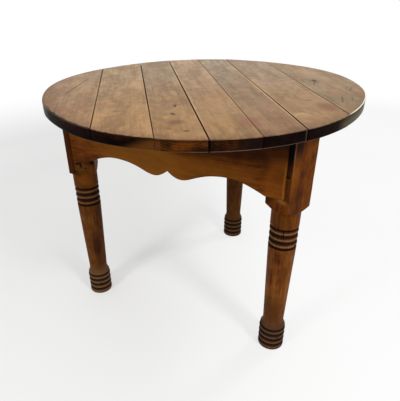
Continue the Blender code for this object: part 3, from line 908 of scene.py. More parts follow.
# Layers over an apron's wood, by distances above its edge, below its top, past its end and along it
APRON_LAYERS = (
    ((142, 88, 27), ("along", -0.25, -0.16), ("along", 0.10, 0.0), 0.62),
    ((64, 30, 6), ("along", -0.22, -0.27, 0.0, 0.22)),
    # Darker up under the top: partly grime, partly painted shade of the top's overhang
    ((40, 15, 4), ("below", 0.055, 0.004, 0.0, 0.4)),
    # A band darker under the top's rim: painted shadow of the top, with some grime
    ((34, 11, 3), ("along", -0.03, 0.06), ("from_top", 0.120, 0.082, 0.0, 0.80)),
    ((34, 12, 4), SMUDGE, 0.6),
    (
        (134, 78, 22),
        ("below", 0.094, 0.112),
        ("below", 0.146, 0.130),
        ("along", 0.02, 0.06),
        ("along", 0.265, 0.225, 0.0, 0.42),
    ),
    # Painted shade along the lower arris
    ((44, 22, 5), ("above", 0.0050, 0.0005), ("fibres", 0.3, 0.6, 0.6, 1.0), 0.6),
    # Painted highlight on the end arris
    ((146, 96, 38), ("past", 0.0090, 0.0035), ("below", 0.06, 0.10), ("along", 0.0, 0.1), 0.55),
    ((122, 66, 14), ("along", 0.262, 0.292), ("below", 0.03, 0.09), 0.4),
    ((30, 12, 3), "worm_holes"),
    # Painted shade on the tenon's cheek in the open mortise: near black at the top, brown lower down
    ((6, 3, 2), TENON_CHEEK),
    ((84, 42, 19), TENON_CHEEK, ("below", 0.060, 0.112)),
)


def apron_finish(seed):
    """Waxed orange-brown board with its grain along it, darker up under the top with grime and a painted
    shadow of the top, with painted shade along its lower arris and in the open mortise, and a painted
    highlight on its end arris.
    """
    look = Look(f"apron_{seed}_wood", APRON_GLOSS)
    look.wood(tuple(APRON_SHIFT * seed), APRON_PITH, APRON_RINGS, APRON_WEIGHTS)
    look.name_parts(look.attribute("edge"), "above", "below", "past")
    look.name_parts(look.place, "height", "out", "along")
    along, below = look.fields["along"], look.fields["below"]
    look.fields["from_top"] = look.maths("MULTIPLY_ADD", along, TOP_SHADOW_SLOPE, below)
    look.fields["worm_holes"] = look.worm_holes()
    look.colour = look.ramp(look.fields["tone"], APRON_STOPS)
    look.paint_all(APRON_LAYERS)
    return look.finish(patchy(0.42, 0.58))


# Wood of the legs

LEG_GLOSS = 0.025
LEG_RINGS = 0.009
LEG_SHIFT = np.array((0.23, 0.11, 1.9))
LEG_WEIGHTS = (0.05, 0.5, 0.6, 0.4, 0.8, 0.7)
LEG_STOPS = ((0.2, (56, 24, 6)), (0.42, (92, 49, 15)), (0.58, (108, 61, 21)), (0.85, (132, 83, 38)))
LEG_PITH = (-0.05, -0.02, 0.0)
# Share of the light that each leg returns: partly its own darker or lighter finish, partly painted shade that
# darkens the left and back legs
LEG_TONE_AND_SHADE = {"left_leg": 0.84, "right_leg": 1.0, "back_leg": 0.74}
# Warmer finish on each leg's block and upper rings
BLOCK_TINTS = {
    "left_leg": (1.0, 0.86, 0.42, 1.0),
    "right_leg": (0.93, 0.78, 0.24, 1.0),
    "back_leg": (1.0, 0.86, 0.42, 1.0),
}
# How far the upper rings are worn light and carry a painted highlight, how dark the grooves between them are
# with dirt and painted shade, and the foot's shade
RING_WEAR_AND_HIGHLIGHT = {"left_leg": 0.44, "right_leg": 0.60, "back_leg": 0.44}
RING_DIRT_AND_SHADE = {"left_leg": 0.64, "right_leg": 0.76, "back_leg": 0.70}
LEG_FEET = {"left_leg": (104, 75, 48), "right_leg": (66, 49, 36), "back_leg": (72, 46, 22)}
# Strip below the open mortise, painted dark as the shade in that deep gap, and a block's face beside the
# arris, painted darker as shade
MORTISE_STRIP = (("x", 0.017, 0.023), ("x", 0.0408, 0.0385), ("y", -0.035, -0.039), ("z", 0.534, 0.540))
BLOCK_FACE = (("y", 0.034, 0.038), ("z", 0.490, 0.505))
# Patches and streaks on each leg, and painted shade on the left block beside its arris and on the right block
# in its open mortise
LEG_LAYERS = {
    "left_leg": [
        ((48, 20, 13), ("spot", (-0.012, 0.033, 0.205), (0.022, 0.024, 0.085)), 0.85),
        ((54, 24, 13), ("spot", (-0.010, 0.033, 0.100), (0.020, 0.022, 0.080)), 0.5),
        ((96, 60, 20), ("spot", (0.000, 0.036, 0.515), (0.044, 0.024, 0.026)), 0.55),
        ((122, 70, 16), ("spot", (-0.010, 0.038, 0.470), (0.040, 0.024, 0.030)), 0.45),
        # Painted shade on the left block's face beside its arris, and a painted shadow line near the arris
        ((56, 24, 7), *BLOCK_FACE, ("x", 0.022, 0.027), 0.65),
        (
            (38, 18, 5),
            *BLOCK_FACE,
            ("x", 0.0205, 0.0233),
            ("x", 0.0285, 0.0257),
            ("z", 0.705, 0.665),
            ("fibres", 0.3, 0.55, 0.45, 0.85),
        ),
    ],
    "right_leg": [
        ((78, 38, 12), ("spot", (0.030, -0.020, 0.285), (0.020, 0.016, 0.050)), 0.5),
        ((72, 45, 18), ("spot", (0.012, -0.036, 0.468), (0.050, 0.040, 0.024)), 0.60),
        ((30, 13, 6), ("spot", (-0.032, -0.040, 0.521), (0.020, 0.020, 0.026)), 0.75),
        ((134, 90, 38), ("spot", (0.014, -0.040, 0.531), (0.026, 0.016, 0.010)), 0.65),
        ((72, 40, 16), ("spot", (0.010, -0.030, 0.155), (0.060, 0.060, 0.095)), 0.75),
        # Painted shade in the open mortise, black in its upper part
        ((44, 17, 5), *MORTISE_STRIP, 0.55),
        ((12, 6, 3), *MORTISE_STRIP, ("z", 0.600, 0.665, 0.0, 0.9)),
        (
            (32, 15, 6),
            ("y", -0.012, -0.018),
            ("x", 0.036, 0.0395),
            ("y", -0.0400, -0.0385),
            ("z", 0.628, 0.680),
            0.95,
        ),
    ],
}
LOW_BLOCK = (("height", 0.545, 0.515), ("height", 0.484, 0.494))
TOOL_MARKS = ((44, 24, 7), *LOW_BLOCK, ("fibres", 0.42, 0.60, 0.0, 0.18))
# Painted shade on the side of a leg's foot away from the key lamp, under the wear of its rings
FOOT_SHADE_LAYERS = {"right_leg": [((18, 9, 5), ("spot", (-0.027, -0.030, 0.035), (0.030, 0.030, 0.085)), 0.9)]}
# Lighter ring crests and block corners: partly wear, partly painted highlight
CREST_WEAR_AND_HIGHLIGHT = ((136, 110, 82), ("crest", 0.0030, 0.0006), ("fibres", 0.3, 0.6, 0.3, 1.0))
BLOCK_WEAR_AND_HIGHLIGHT = (("height", 0.47, 0.48), ("height", 0.55, 0.64, 0.10, 0.34))
# Darker grooves: partly dirt, partly painted shade; the deepest hollows, in the block's mortises and holes,
# are painted near black as shade
GROOVE_EDGE = ((34, 18, 9), ("hollow", 0.0001, 0.0009, 0.0, 0.70))
GROOVE_FLOOR = ((12, 6, 3), ("hollow", 0.0007, 0.0020))
DEEP_HOLE = ((4, 2, 1), ("hollow", 0.0045, 0.0060))
# Painted light that the open mortise's lower end catches, and painted shade on the side of the upper rings
# away from the key lamp
LEG_LIGHT_AND_SHADE_LAYERS = {
    "right_leg": [
        (
            (66, 33, 15),
            ("hollow", 0.0015, 0.0030),
            ("height", 0.668, 0.630, 0.0, 0.85),
            ("height", 0.54, 0.56),
        ),
        ((26, 12, 5), ("spot", (-0.030, -0.027, 0.405), (0.032, 0.032, 0.075)), 0.6),
    ]
}


def leg_finish(name, seed):
    """Waxed red-brown turning with dark grooves, a worn block and a dirty foot, with painted shade in its
    grooves and hollows and, on the right leg, on the side away from the key lamp, and painted highlights on
    its crests.
    """
    look = Look(name + "_wood", LEG_GLOSS)
    look.wood(tuple(LEG_SHIFT * seed), LEG_PITH, LEG_RINGS, LEG_WEIGHTS)
    look.name_parts(look.place, "x", "y", "z")
    look.name_parts(look.attribute("edge"), "hollow", "crest", "height")
    look.fields["worm_holes"] = look.worm_holes()
    stops = [(at, tuple(np.multiply(tint, LEG_TONE_AND_SHADE[name]))) for at, tint in LEG_STOPS]
    look.colour = look.ramp(look.fields["tone"], stops)
    look.colour = look.mix(look.mask(("height", 0.36, 0.50)), look.colour, BLOCK_TINTS[name], "MULTIPLY")
    look.paint_all(LEG_LAYERS.get(name, []))
    look.paint(*TOOL_MARKS)
    look.paint(LEG_FEET[name], ("height", 0.135, 0.080, 0.0, 0.72))
    look.paint_all(FOOT_SHADE_LAYERS.get(name, []))
    look.paint(*CREST_WEAR_AND_HIGHLIGHT, ("height", 0.48, 0.47), ("height", 0.15, 0.30, 0.26, RING_WEAR_AND_HIGHLIGHT[name]))
    look.paint(*CREST_WEAR_AND_HIGHLIGHT, *BLOCK_WEAR_AND_HIGHLIGHT)
    look.paint(*GROOVE_EDGE)
    look.paint(*GROOVE_FLOOR, ("height", 0.10, 0.30, 0.62, RING_DIRT_AND_SHADE[name]))
    look.paint(*DEEP_HOLE)
    look.paint_all(LEG_LIGHT_AND_SHADE_LAYERS.get(name, []))
    look.paint((28, 13, 5), "worm_holes")
    return look.finish(patchy(0.38, 0.52))


# Hidden pieces

RAW_RINGS = 0.007
RAW_RELIEF = 0.0006
RAW_WEIGHTS = (0.15, 0.6, 0.7, 0.5, 0.7, 0.6)
RAW_PITH = (-0.03, -0.06, 0.0)
IRON_RELIEF = 0.0002


def raw_finish(name, dark, light, specular=0.2):
    """Unfinished wood that has aged."""
    look = Look(name, specular)
    look.wood((0.0, 0.0, 0.0), RAW_PITH, RAW_RINGS, RAW_WEIGHTS)
    look.colour = look.ramp(look.fields["tone"], [(0.2, dark), (0.8, light)])
    return look.finish(patchy(0.6, 0.8), RAW_RELIEF)


def iron_finish():
    """Dull dark iron, brown with rust in places."""
    look = Look("screw_iron_finish", 0.5)
    look.fields["rust"] = look.noise(look.object_place(), 420.0, 4.0, 0.6)
    look.fields["relief"] = look.noise(look.object_place(), 1600.0, 2.0)
    look.colour = look.mix(look.mask(("rust", 0.45, 0.62)), shade(72, 70, 68), shade(92, 54, 34))
    look.shader.inputs["Metallic"].default_value = 1.0
    return look.finish(("rust", 0.4, 0.65, 0.42, 0.8), IRON_RELIEF)


def plain_wood_finish(name, dark, light):
    """Aged wood on pieces that keep their solids' own shape."""
    look = Look(name, 0.3)
    drawn_out = look.vector_math("MULTIPLY", look.object_place(), (1.0, 0.06, 1.0))
    look.fields["relief"] = look.noise(drawn_out, 300.0, 4.0, 0.6)
    look.fields["patches"] = look.noise(look.object_place(), 18.0, 2.0)
    tone = look.total({"relief": 0.8, "patches": 0.5})
    look.colour = look.ramp(tone, [(0.25, dark), (0.75, light)])
    return look.finish(patchy(0.6, 0.8))


# Top boards


def side_steps(length, spacing):
    """Shares of the way along a side, with two close steps at both ends for its rounded corners."""
    near = np.array(CORNER_STEPS) * CORNER_ROUND / length
    count = max(2, round(length / spacing))
    between = np.linspace(near[-1], 1 - near[-1], count + 1)[1:-1]
    return np.concatenate((near, between, 1 - near[::-1]))


def corner_angles(left, right, radius):
    """Angles of a board's corners on the rim: front left, front right, back left, back right."""
    if left <= -radius:
        start = -math.acos(right / radius)
        third = (math.tau + 2 * start) / 3
        return start - third, start, start - 2 * third, start - 3 * third
    start = -math.acos(left / radius)
    if right >= radius:
        third = -2 * start / 3
        return start, start + third, -start, start + 2 * third
    end = -math.acos(right / radius)
    return start, end, -start, -end


def out_of_round(angles):
    """How far the hand-sawn outline leaves the circle at each angle."""
    sizes = np.zeros(np.shape(angles))
    for middle, reach, size in OUT_OF_ROUND:
        away = np.degrees(turn_from(math.radians(middle), angles))
        sizes = sizes + size * np.exp(-((away / reach) ** 2))
    return sizes


def from_rim(x, y):
    """Distance inwards from the top's outline."""
    return TOP_RADIUS + out_of_round(np.arctan2(y, x)) - np.hypot(x, y)


def board_patch(left, right, radius, rim_step, across, along, seed):
    """Grid of points over a board's outline, as rows from front to back."""

    def arc(start, end, shares):
        angles = start + (end - start) * shares
        points = ring(1.0, angles, 0.0)
        wave = radius + rim_step + out_of_round(angles) + RIM_WAVE * ripple(points, RIM_WAVES, seed)
        return points[:, :2] * wave[:, None]

    def side(edge, start, end, shares):
        if abs(edge) >= radius:
            return arc(start, end, shares)
        ends = arc(start, end, np.array((0.0, 1.0)))
        return ends[0] + (ends[1] - ends[0]) * shares[:, None]

    front_left, front_right, back_left, back_right = corner_angles(left, right, radius)
    front = arc(front_left, front_right, across)
    back = arc(back_left, back_right, across)
    sides = side(left, front_left, back_left, along), side(right, front_right, back_right, along)
    for edge, at, points in ((left, 0, sides[0]), (right, -1, sides[1])):
        if abs(edge) < radius:
            round_corners(front, back, points, at)
    v, u = along[:, None, None], across[None, :, None]
    rows = (1 - v) * front[None] + v * back[None]
    columns = (1 - u) * sides[0][:, None] + u * sides[1][:, None]
    corners = (1 - v) * ((1 - u) * front[0] + u * front[-1]) + v * ((1 - u) * back[0] + u * back[-1])
    return rows + columns - corners


def round_corners(front, back, side, at):
    """Draws in the two corners at one end of the front and back arcs, and the points beside them."""
    inwards = np.array((1.0 if at == 0 else -1.0, 0.0))
    beside = 1 if at == 0 else -2
    for arc, end, next_along in ((front, 0, 1), (back, -1, -2)):
        towards_middle = -arc[at] / np.linalg.norm(arc[at])
        corner = arc[at] + (inwards + towards_middle) * CORNER_ROUND * CORNER_DRAW
        arc[beside] += towards_middle * CORNER_ROUND * BESIDE_DRAW
        side[next_along] += inwards * CORNER_ROUND * BESIDE_DRAW
        arc[at] = corner
        side[end] = corner


def board_lift(points, left, right, number):
    """Height that a board's upper face has lost or gained by its cupping and wear."""
    flat = np.column_stack((points, np.full(len(points), number * 3.7)))
    middle = (left + right) / 2
    bow = ((points[:, 0] - middle) / (right - left) * 2) ** 2 - 0.5
    swell = BOARD_SWELL * ripple(flat, SWELL_WAVES, 0.4)
    fine = BOARD_RIPPLE * ripple(flat, RIPPLE_WAVES, 1.9)
    return BOARD_LEVELS[number - 1] + BOARD_CUP * bow + swell + fine


def closing(joint, along):
    """How far the two boards at a joint have swollen into it."""
    return np.interp(along, (-TOP_RADIUS, 0.0, TOP_RADIUS), JOINT_CLOSING.get(joint, (0.0, 0.0, 0.0)))


def add_board(number):
    """A board with rounded arrises, grooved for its tongues and bored for its screws."""
    node = f"top_board_{number}"
    low, high = node_span(node, TOP_TURN)
    left = low[0] if number > 1 else -TOP_RADIUS
    right = high[0] if number < BOARD_COUNT else TOP_RADIUS
    inner = 1 < number < BOARD_COUNT
    length = 2 * math.sqrt(TOP_RADIUS**2 - min(abs(left), abs(right)) ** 2)
    width = right - left if inner else length / OUTER_BOARD_SHAPE
    across, along = side_steps(width, GRID_ACROSS), side_steps(length, GRID_ALONG)

    def layer(joint_inset, rim_inset, z, lift_share):
        radius = TOP_RADIUS - rim_inset
        inset_left = left + joint_inset if left > -TOP_RADIUS else -radius
        inset_right = right - joint_inset if right < TOP_RADIUS else radius
        grid = board_patch(
            inset_left, inset_right, radius, RIM_STEPS[number - 1], across, along, number * 2.3
        )
        grid[..., 0] -= closing(number - 1, grid[..., 1]) * (1 - across)
        grid[..., 0] += closing(number, grid[..., 1]) * across
        grid = grid.reshape(-1, 2)
        heights = z + lift_share * board_lift(grid, left, right, number)
        return np.column_stack((grid, heights))

    def arris(joint_size, rim_size, z, way):
        """Layers round an arris, from a face to the board's sides."""
        made = []
        for step in range(ARRIS_STEPS + 1):
            bend = math.pi / 2 * step / ARRIS_STEPS
            inset, drop = 1 - math.sin(bend), 1 - math.cos(bend)
            depth = way * (joint_size + rim_size) / 2 * drop
            made.append(layer(joint_size * inset, rim_size * inset, z - depth, max(0.0, way)))
        return made

    upper = arris(JOINT_ARRIS, RIM_ARRIS, TABLE_HEIGHT, 1)
    lower = arris(LOWER_ARRIS, LOWER_ARRIS, UNDERSIDE, -1)[::-1]
    sides = [layer(0, 0, UNDERSIDE + BOARD_THICKNESS * s, s * s) for s in SIDE_LAYERS]
    board = grid_solid(node + "_worn", [*upper, *sides, *lower], len(along), len(across))
    place(board, TOP_TURN)
    cutters = [swollen_copy(f"tongue_{n}") for n in (number - 1, number) if 0 < n < BOARD_COUNT]
    cutters += [swollen_copy(screw) for screw in screws_within(low, high, 0)]
    combine(board, cutters, "DIFFERENCE")
    points = own_points(board, TOP_TURN)
    from_left = points[:, 0] - left + closing(number - 1, points[:, 1])
    from_right = right - points[:, 0] + closing(number, points[:, 1])
    if number == 1:
        from_left = np.ones(len(points))
    if number == BOARD_COUNT:
        from_right = np.ones(len(points))
    rim = from_rim(points[:, 0], points[:, 1])
    depth = TABLE_HEIGHT - points[:, 2]
    grain = np.column_stack((points[:, 0], depth, points[:, 1]))
    edge = np.column_stack((from_left, from_right, rim))
    finishes = [top_finish(number, left, right), rim_finish(number, left, right), UNDERSIDE_WOOD]
    dress(board, node, "top_wood", finishes, grain=grain, edge=edge)
    for face in board.data.polygons:
        centre = turned([face.center], -TOP_TURN)[0]
        if face.normal.z < UNDERSIDE_SLOPE:
            face.material_index = 2
        elif face.normal.z < RIM_SLOPE and from_rim(centre[0], centre[1]) < RIM_ARRIS:
            face.material_index = 1


def grid_solid(name, layers, rows, columns):
    """Closed solid of a grid on top, one below and the edges of the layers between them."""
    order = np.arange(rows * columns).reshape(rows, columns)
    edge = np.concatenate((order[0, :-1], order[:-1, -1], order[-1, :0:-1], order[:0:-1, 0]))
    count = len(edge)
    points = [layers[0], *[layer[edge] for layer in layers[1:-1]], layers[-1]]
    starts = np.cumsum([0] + [len(p) for p in points])
    loops = [edge]
    loops += [starts[i] + np.arange(count) for i in range(1, len(points) - 1)]
    loops += [starts[-2] + edge]
    faces = []
    for start in (0, starts[-2]):
        for row in range(rows - 1):
            for column in range(columns - 1):
                a, b = order[row, column], order[row, column + 1]
                c, d = order[row + 1, column + 1], order[row + 1, column]
                faces.append([int(start + i) for i in (a, b, c, d)])
    for upper, lower in zip(loops, loops[1:]):
        for i in range(count):
            faces.append([int(n) for n in (upper[i - 1], upper[i], lower[i], lower[i - 1])])
    return new_object(name, np.concatenate(points), faces)


# Legs


def soft_min(a, b, reach):
    """Smaller of two values, rounded over where they cross."""
    share = np.clip(0.5 + (b - a) / (2 * reach), 0, 1)
    return b + (a - b) * share - reach * share * (1 - share)


def stock_radius(angles, corner):
    """Distance from the leg's axis to the square stock's faces, with rounded corners."""
    across = np.maximum(np.abs(np.cos(angles)), np.abs(np.sin(angles)))
    along = np.minimum(np.abs(np.cos(angles)), np.abs(np.sin(angles)))
    flat = HALF_STOCK / across
    inner = HALF_STOCK - corner
    towards = inner * (across + along)
    bend = towards + np.sqrt(np.maximum(towards**2 - 2 * inner**2 + corner**2, 0))
    return np.where(flat * along < inner, flat, bend)


def ring_profile(low, count, crest):
    """Rounded rings with a groove at both ends of each, upwards from low."""
    half = (RING_PITCH - GROOVE_WIDTH) / 2
    bends = np.radians(np.linspace(-90, 90, RING_STEPS + 1))
    fullness = np.maximum(0, np.cos(bends))
    points = []
    for i in range(count):
        middle = low + (i + 0.5) * RING_PITCH
        points += list(zip(crest - GROOVE_DEPTH * (1 - fullness), middle + half * np.sin(bends)))
        floor = crest - GROOVE_DEPTH * GROOVE_UNDERCUT
        points += [(floor, middle + half + GROOVE_WIDTH * s) for s in GROOVE_STEPS]
    return points[:-3]


def leg_profile(block_length):
    """Turned outline of a leg, bottom to top. The block's part stays wider than the stock's corners."""
    shoulder_top = UNDERSIDE - block_length
    shoulder_low = shoulder_top - SHOULDER_DROP
    corner = math.hypot(HALF_STOCK, HALF_STOCK)
    slope = SHOULDER_DROP / (corner - NECK_RADIUS)
    wide = corner + GROOVE_DEPTH
    rings_top = shoulder_low - NECK_LENGTH
    rings_low = rings_top - UPPER_RING_COUNT * RING_PITCH
    flare_low = (FLARE_RADIUS, FLARE_LOW)
    ankle = (ANKLE_RADIUS, ANKLE_HEIGHT)
    bends = np.radians((0, 25, 45, 65, 90))
    foot_edge = [
        (FOOT_RADIUS - FOOT_EDGE * (1 - math.sin(b)), FOOT_EDGE * (1 - math.cos(b))) for b in bends
    ]
    foot_rings = [p for p in ring_profile(0, FOOT_RING_COUNT, FOOT_RADIUS) if p[1] > FOOT_EDGE * 1.5]
    return (
        foot_edge
        + foot_rings
        + [(FOOT_RADIUS - GROOVE_DEPTH, flare_low[1] - FIT_GAP)]
        + [tuple(p) for p in curve(flare_low, ankle, FLARE_PULLS)[::3]]
        + [ankle]
        + [(SHAFT_TOP_RADIUS, rings_low - GROOVE_WIDTH / 2)]
        + [(UPPER_RING_RADIUS - GROOVE_DEPTH, rings_low - GROOVE_WIDTH / 2 + FIT_GAP)]
        + ring_profile(rings_low, UPPER_RING_COUNT, UPPER_RING_RADIUS)
        + [(UPPER_RING_RADIUS - GROOVE_DEPTH, rings_top + GROOVE_WIDTH / 2)]
        + [(NECK_RADIUS, rings_top + GROOVE_WIDTH / 2 + FIT_GAP)]
        + [(NECK_RADIUS, shoulder_low)]
        + [(NECK_RADIUS + (wide - NECK_RADIUS) * s, shoulder_low + (wide - NECK_RADIUS) * s * slope)
           for s in SHOULDER_STEPS]
        + [(wide, FRAME_TOP)]
    )


def filled(profile):
    """The same outline with points no further apart than one row."""
    points = [profile[0]]
    for start, end in zip(profile, profile[1:]):
        steps = max(1, math.ceil((end[1] - start[1]) / LEG_ROW))
        if end[1] == FRAME_TOP:
            close = min(1.0, KNOCKED_LENGTH / (end[1] - start[1]))
            fine = np.linspace(0, close, math.ceil(KNOCKED_LENGTH / KNOCKED_ROW), endpoint=False)[1:]
            shares = np.concatenate((fine, np.linspace(close, 1, steps)))
        else:
            shares = np.arange(1, steps + 1) / steps
        points += [tuple(np.array(start) + (np.array(end) - np.array(start)) * share) for share in shares]
    return np.array(points)


def leg_angles(name):
    """Angles round a leg, closer together at the stock's corners and at a split."""
    steps = np.sin(np.pi / 2 * np.linspace(-1, 1, LEG_FACE_STEPS, endpoint=False))
    angles = np.concatenate([math.pi / 2 * face + math.pi / 4 * steps for face in range(4)])
    if name in SPLIT_ANGLES:
        angles = np.concatenate((angles, SPLIT_ANGLES[name] + SPLIT_STEPS))
    angles = np.sort(np.mod(angles, math.tau))
    keep = np.append(np.diff(angles), 1.0) > CLOSEST_ANGLES
    return angles[keep]


def add_leg(name):
    """A turned leg with its square block, mortised and bored for its two aprons."""
    seed = LEG_SEED + SEED_STEP * list(LEG_ANGLES).index(name)
    profile = filled(leg_profile(BLOCK_LENGTHS[name]))
    angles = leg_angles(name)
    shoulder_top = UNDERSIDE - BLOCK_LENGTHS[name]
    heights = profile[:, 1]
    wear = np.array([noise.noise(Vector((0.0, seed, z * ARRIS_WAVES))) for z in heights])
    rows = []
    for (turned_radius, z), worn in zip(profile, wear):
        stock = stock_radius(angles, BLOCK_ARRIS * (1 + BLOCK_ARRIS_CHANGE * worn))
        radius = soft_min(np.full(len(angles), turned_radius), stock, SHOULDER_EDGE)
        size, waves = (BLOCK_WAVE, BLOCK_WAVES) if z > shoulder_top else (LEG_WAVE, LEG_WAVES)
        radius = radius + size * ripple(ring(radius, angles, z), waves, seed)
        rows.append(ring(radius - dents(name, angles, radius, z), angles, z))
    leg = skin(name + "_worn", rows)
    angle = LEG_ANGLES[name]
    centre = (LEG_CIRCLE_RADIUS * math.cos(angle), LEG_CIRCLE_RADIUS * math.sin(angle), 0)
    place(leg, angle, centre)
    combine(leg, leg_cutters(name), "DIFFERENCE")
    local = own_points(leg, angle, centre)
    reach = np.hypot(local[:, 0], local[:, 1])
    crest = crest_radius(heights, profile[:, 0])
    hollow = np.interp(local[:, 2], heights, crest) - reach
    wide, narrow = np.abs(local[:, :2]).max(1), np.abs(local[:, :2]).min(1)
    in_block = local[:, 2] > shoulder_top
    hollow[local[:, 2] > shoulder_top - SHOULDER_DROP - GROOVE_WIDTH] = 0.0
    on_flare = (local[:, 2] > FLARE_LOW + FIT_GAP) & (local[:, 2] < ANKLE_HEIGHT + GROOVE_WIDTH)
    hollow[on_flare] *= FLARE_DIRT
    hollow[in_block] = HALF_STOCK - wide[in_block] - BLOCK_WAVE * 2
    ridge = np.where(in_block, HALF_STOCK - narrow, ridge_distance(local[:, 2], BLOCK_LENGTHS[name]))
    edge = np.column_stack((hollow, ridge, local[:, 2]))
    dress(leg, name, "leg_wood", [leg_finish(name, seed)], grain=local, edge=edge)


def dents(name, angles, radius, z):
    """Depth of the knocks and splits at one height of a leg."""
    depth = np.zeros(len(angles))
    for height, degrees, tall, wide, deep in LEG_DENTS[name]:
        along = turn_from(math.radians(degrees), angles) * radius
        depth += deep * np.exp(-((along / wide) ** 2) - ((z - height) / tall) ** 2)
    if name in SPLIT_ANGLES and SPLIT_LOW < z < SPLIT_TOP:
        along = np.abs(turn_from(SPLIT_ANGLES[name], angles)) * radius
        ends = min(1.0, (SPLIT_TOP - z) / SPLIT_FADE, (z - SPLIT_LOW) / SPLIT_FADE)
        depth += SPLIT_DEPTH * ends * np.clip(1 - along / SPLIT_HALF_WIDTH, 0, 1)
    return depth


def ridge_distance(heights, block_length):
    """Distance up or down to the middle of the nearest ring, within the two ringed stretches."""
    rings_top = UNDERSIDE - block_length - SHOULDER_DROP - NECK_LENGTH
    distances = np.ones(len(heights))
    rings_low = rings_top - UPPER_RING_COUNT * RING_PITCH
    for low, count in ((0.0, FOOT_RING_COUNT), (rings_low, UPPER_RING_COUNT)):
        inside = (heights > low) & (heights < low + count * RING_PITCH)
        within = np.mod(heights - low, RING_PITCH)
        distances[inside] = np.abs(within - RING_PITCH / 2)[inside]
    return distances


def crest_radius(heights, radii):
    """Widest radius of the turning within a groove's width of each height."""
    return np.array([radii[np.abs(heights - z) < GROOVE_WIDTH].max() for z in heights])


# Aprons


def face_along(out):
    """Place along the apron where the leg block's face is met, at a distance out from the middle."""
    return BLOCK_CORNER.y - (BLOCK_CORNER.x - out) * LEG_OUT.y / LEG_OUT.x


TENON_SHOULDER = face_along(TENON_MIDDLE)
TENON_END = TENON_SHOULDER + TENON_LENGTH


def tenon_box(name, end, gap):
    root = TENON_SHOULDER - TENON_THICKNESS / 2 * LEG_OUT.y / LEG_OUT.x - TENON_ROOT
    along = sorted((end * root, end * (TENON_END + gap)))
    half = TENON_THICKNESS / 2 + gap
    low = (TENON_MIDDLE - half, along[0], APRON_BOTTOM + TENON_BOTTOM_SHOULDER - gap)
    high = (TENON_MIDDLE + half, along[1], FRAME_TOP - TENON_TOP_SHOULDER + gap)
    return box(name, low, high)


def open_mortise():
    """Gap beside the front apron's right end, narrowing downwards, as deep as the tenon's cheek."""
    start = face_along(APRON_FACE) - APRON_REVEAL
    top_end = BLOCK_CORNER.y - OPEN_MORTISE_TOP_EDGE * LEG_OUT.y
    low_end = BLOCK_CORNER.y - OPEN_MORTISE_LOW_EDGE * LEG_OUT.y
    low = UNDERSIDE - OPEN_MORTISE_DEPTH
    edge = [(low_end, low), (top_end, UNDERSIDE), (top_end, TABLE_HEIGHT)]
    outline = [(start, low), *edge, (start, TABLE_HEIGHT)]
    cheek = TENON_MIDDLE + TENON_THICKNESS / 2
    rings = [np.array([(x, y, z) for y, z in outline]) for x in (cheek, cheek + 2 * HALF_STOCK)]
    return skin("open_mortise", rings)


def leg_cutters(leg):
    cutters = []
    for apron, legs in APRON_LEGS.items():
        for end, joined in zip((-1, 1), legs):
            if joined == leg:
                tenon = tenon_box(f"{apron}_{leg}_mortise", end, FIT_GAP)
                cutters.append(place(tenon, APRON_ANGLES[apron]))
                cutters.append(swollen_copy(f"{apron}_{leg}_peg"))
    if leg == "right_leg":
        cutters.append(place(open_mortise(), APRON_ANGLES["front_apron"]))
    return cutters


def section(low, high, corners, counts):
    """Rounded rectangle, anticlockwise from its lower right corner, with points along its sides.

    Each corner has a radius and a number of steps, and each side a number of stretches.
    """
    points = []
    ways = ((1, -1), (1, 1), (-1, 1), (-1, -1))
    for quarter, ((out, up), (radius, steps)) in enumerate(zip(ways, corners)):
        a = high[0] if out > 0 else low[0]
        b = high[1] if up > 0 else low[1]
        centre = (a - out * radius, b - up * radius)
        arc = []
        for step in range(steps + 1):
            bend = math.pi / 2 * (quarter - 1 + step / steps)
            arc.append((centre[0] + radius * math.cos(bend), centre[1] + radius * math.sin(bend)))
        points.append(arc)
    outline = []
    for i, count in enumerate(counts):
        start, end = np.array(points[i][-1]), np.array(points[(i + 1) % 4][0])
        outline += points[i]
        outline += [tuple(start + (end - start) * k / count) for k in range(1, count)]
    return np.array(outline)


def lower_edge():
    """Shaped lower edge of an apron as places along it, from its middle, and heights."""
    cusp = (0.0, APRON_BOTTOM + CUSP_RISE)
    lobe = (LOBE_OFFSET, APRON_BOTTOM + LOBE_RISE)
    crown = (CROWN_OFFSET, APRON_BOTTOM + CROWN_RISE)
    foot = (SCALLOP_HALF_LENGTH, APRON_BOTTOM)
    parts = [curve(cusp, lobe, CUSP_PULLS), curve(lobe, crown, LOBE_PULLS), curve(crown, foot, CROWN_PULLS)]
    return np.concatenate([*parts, [foot]])


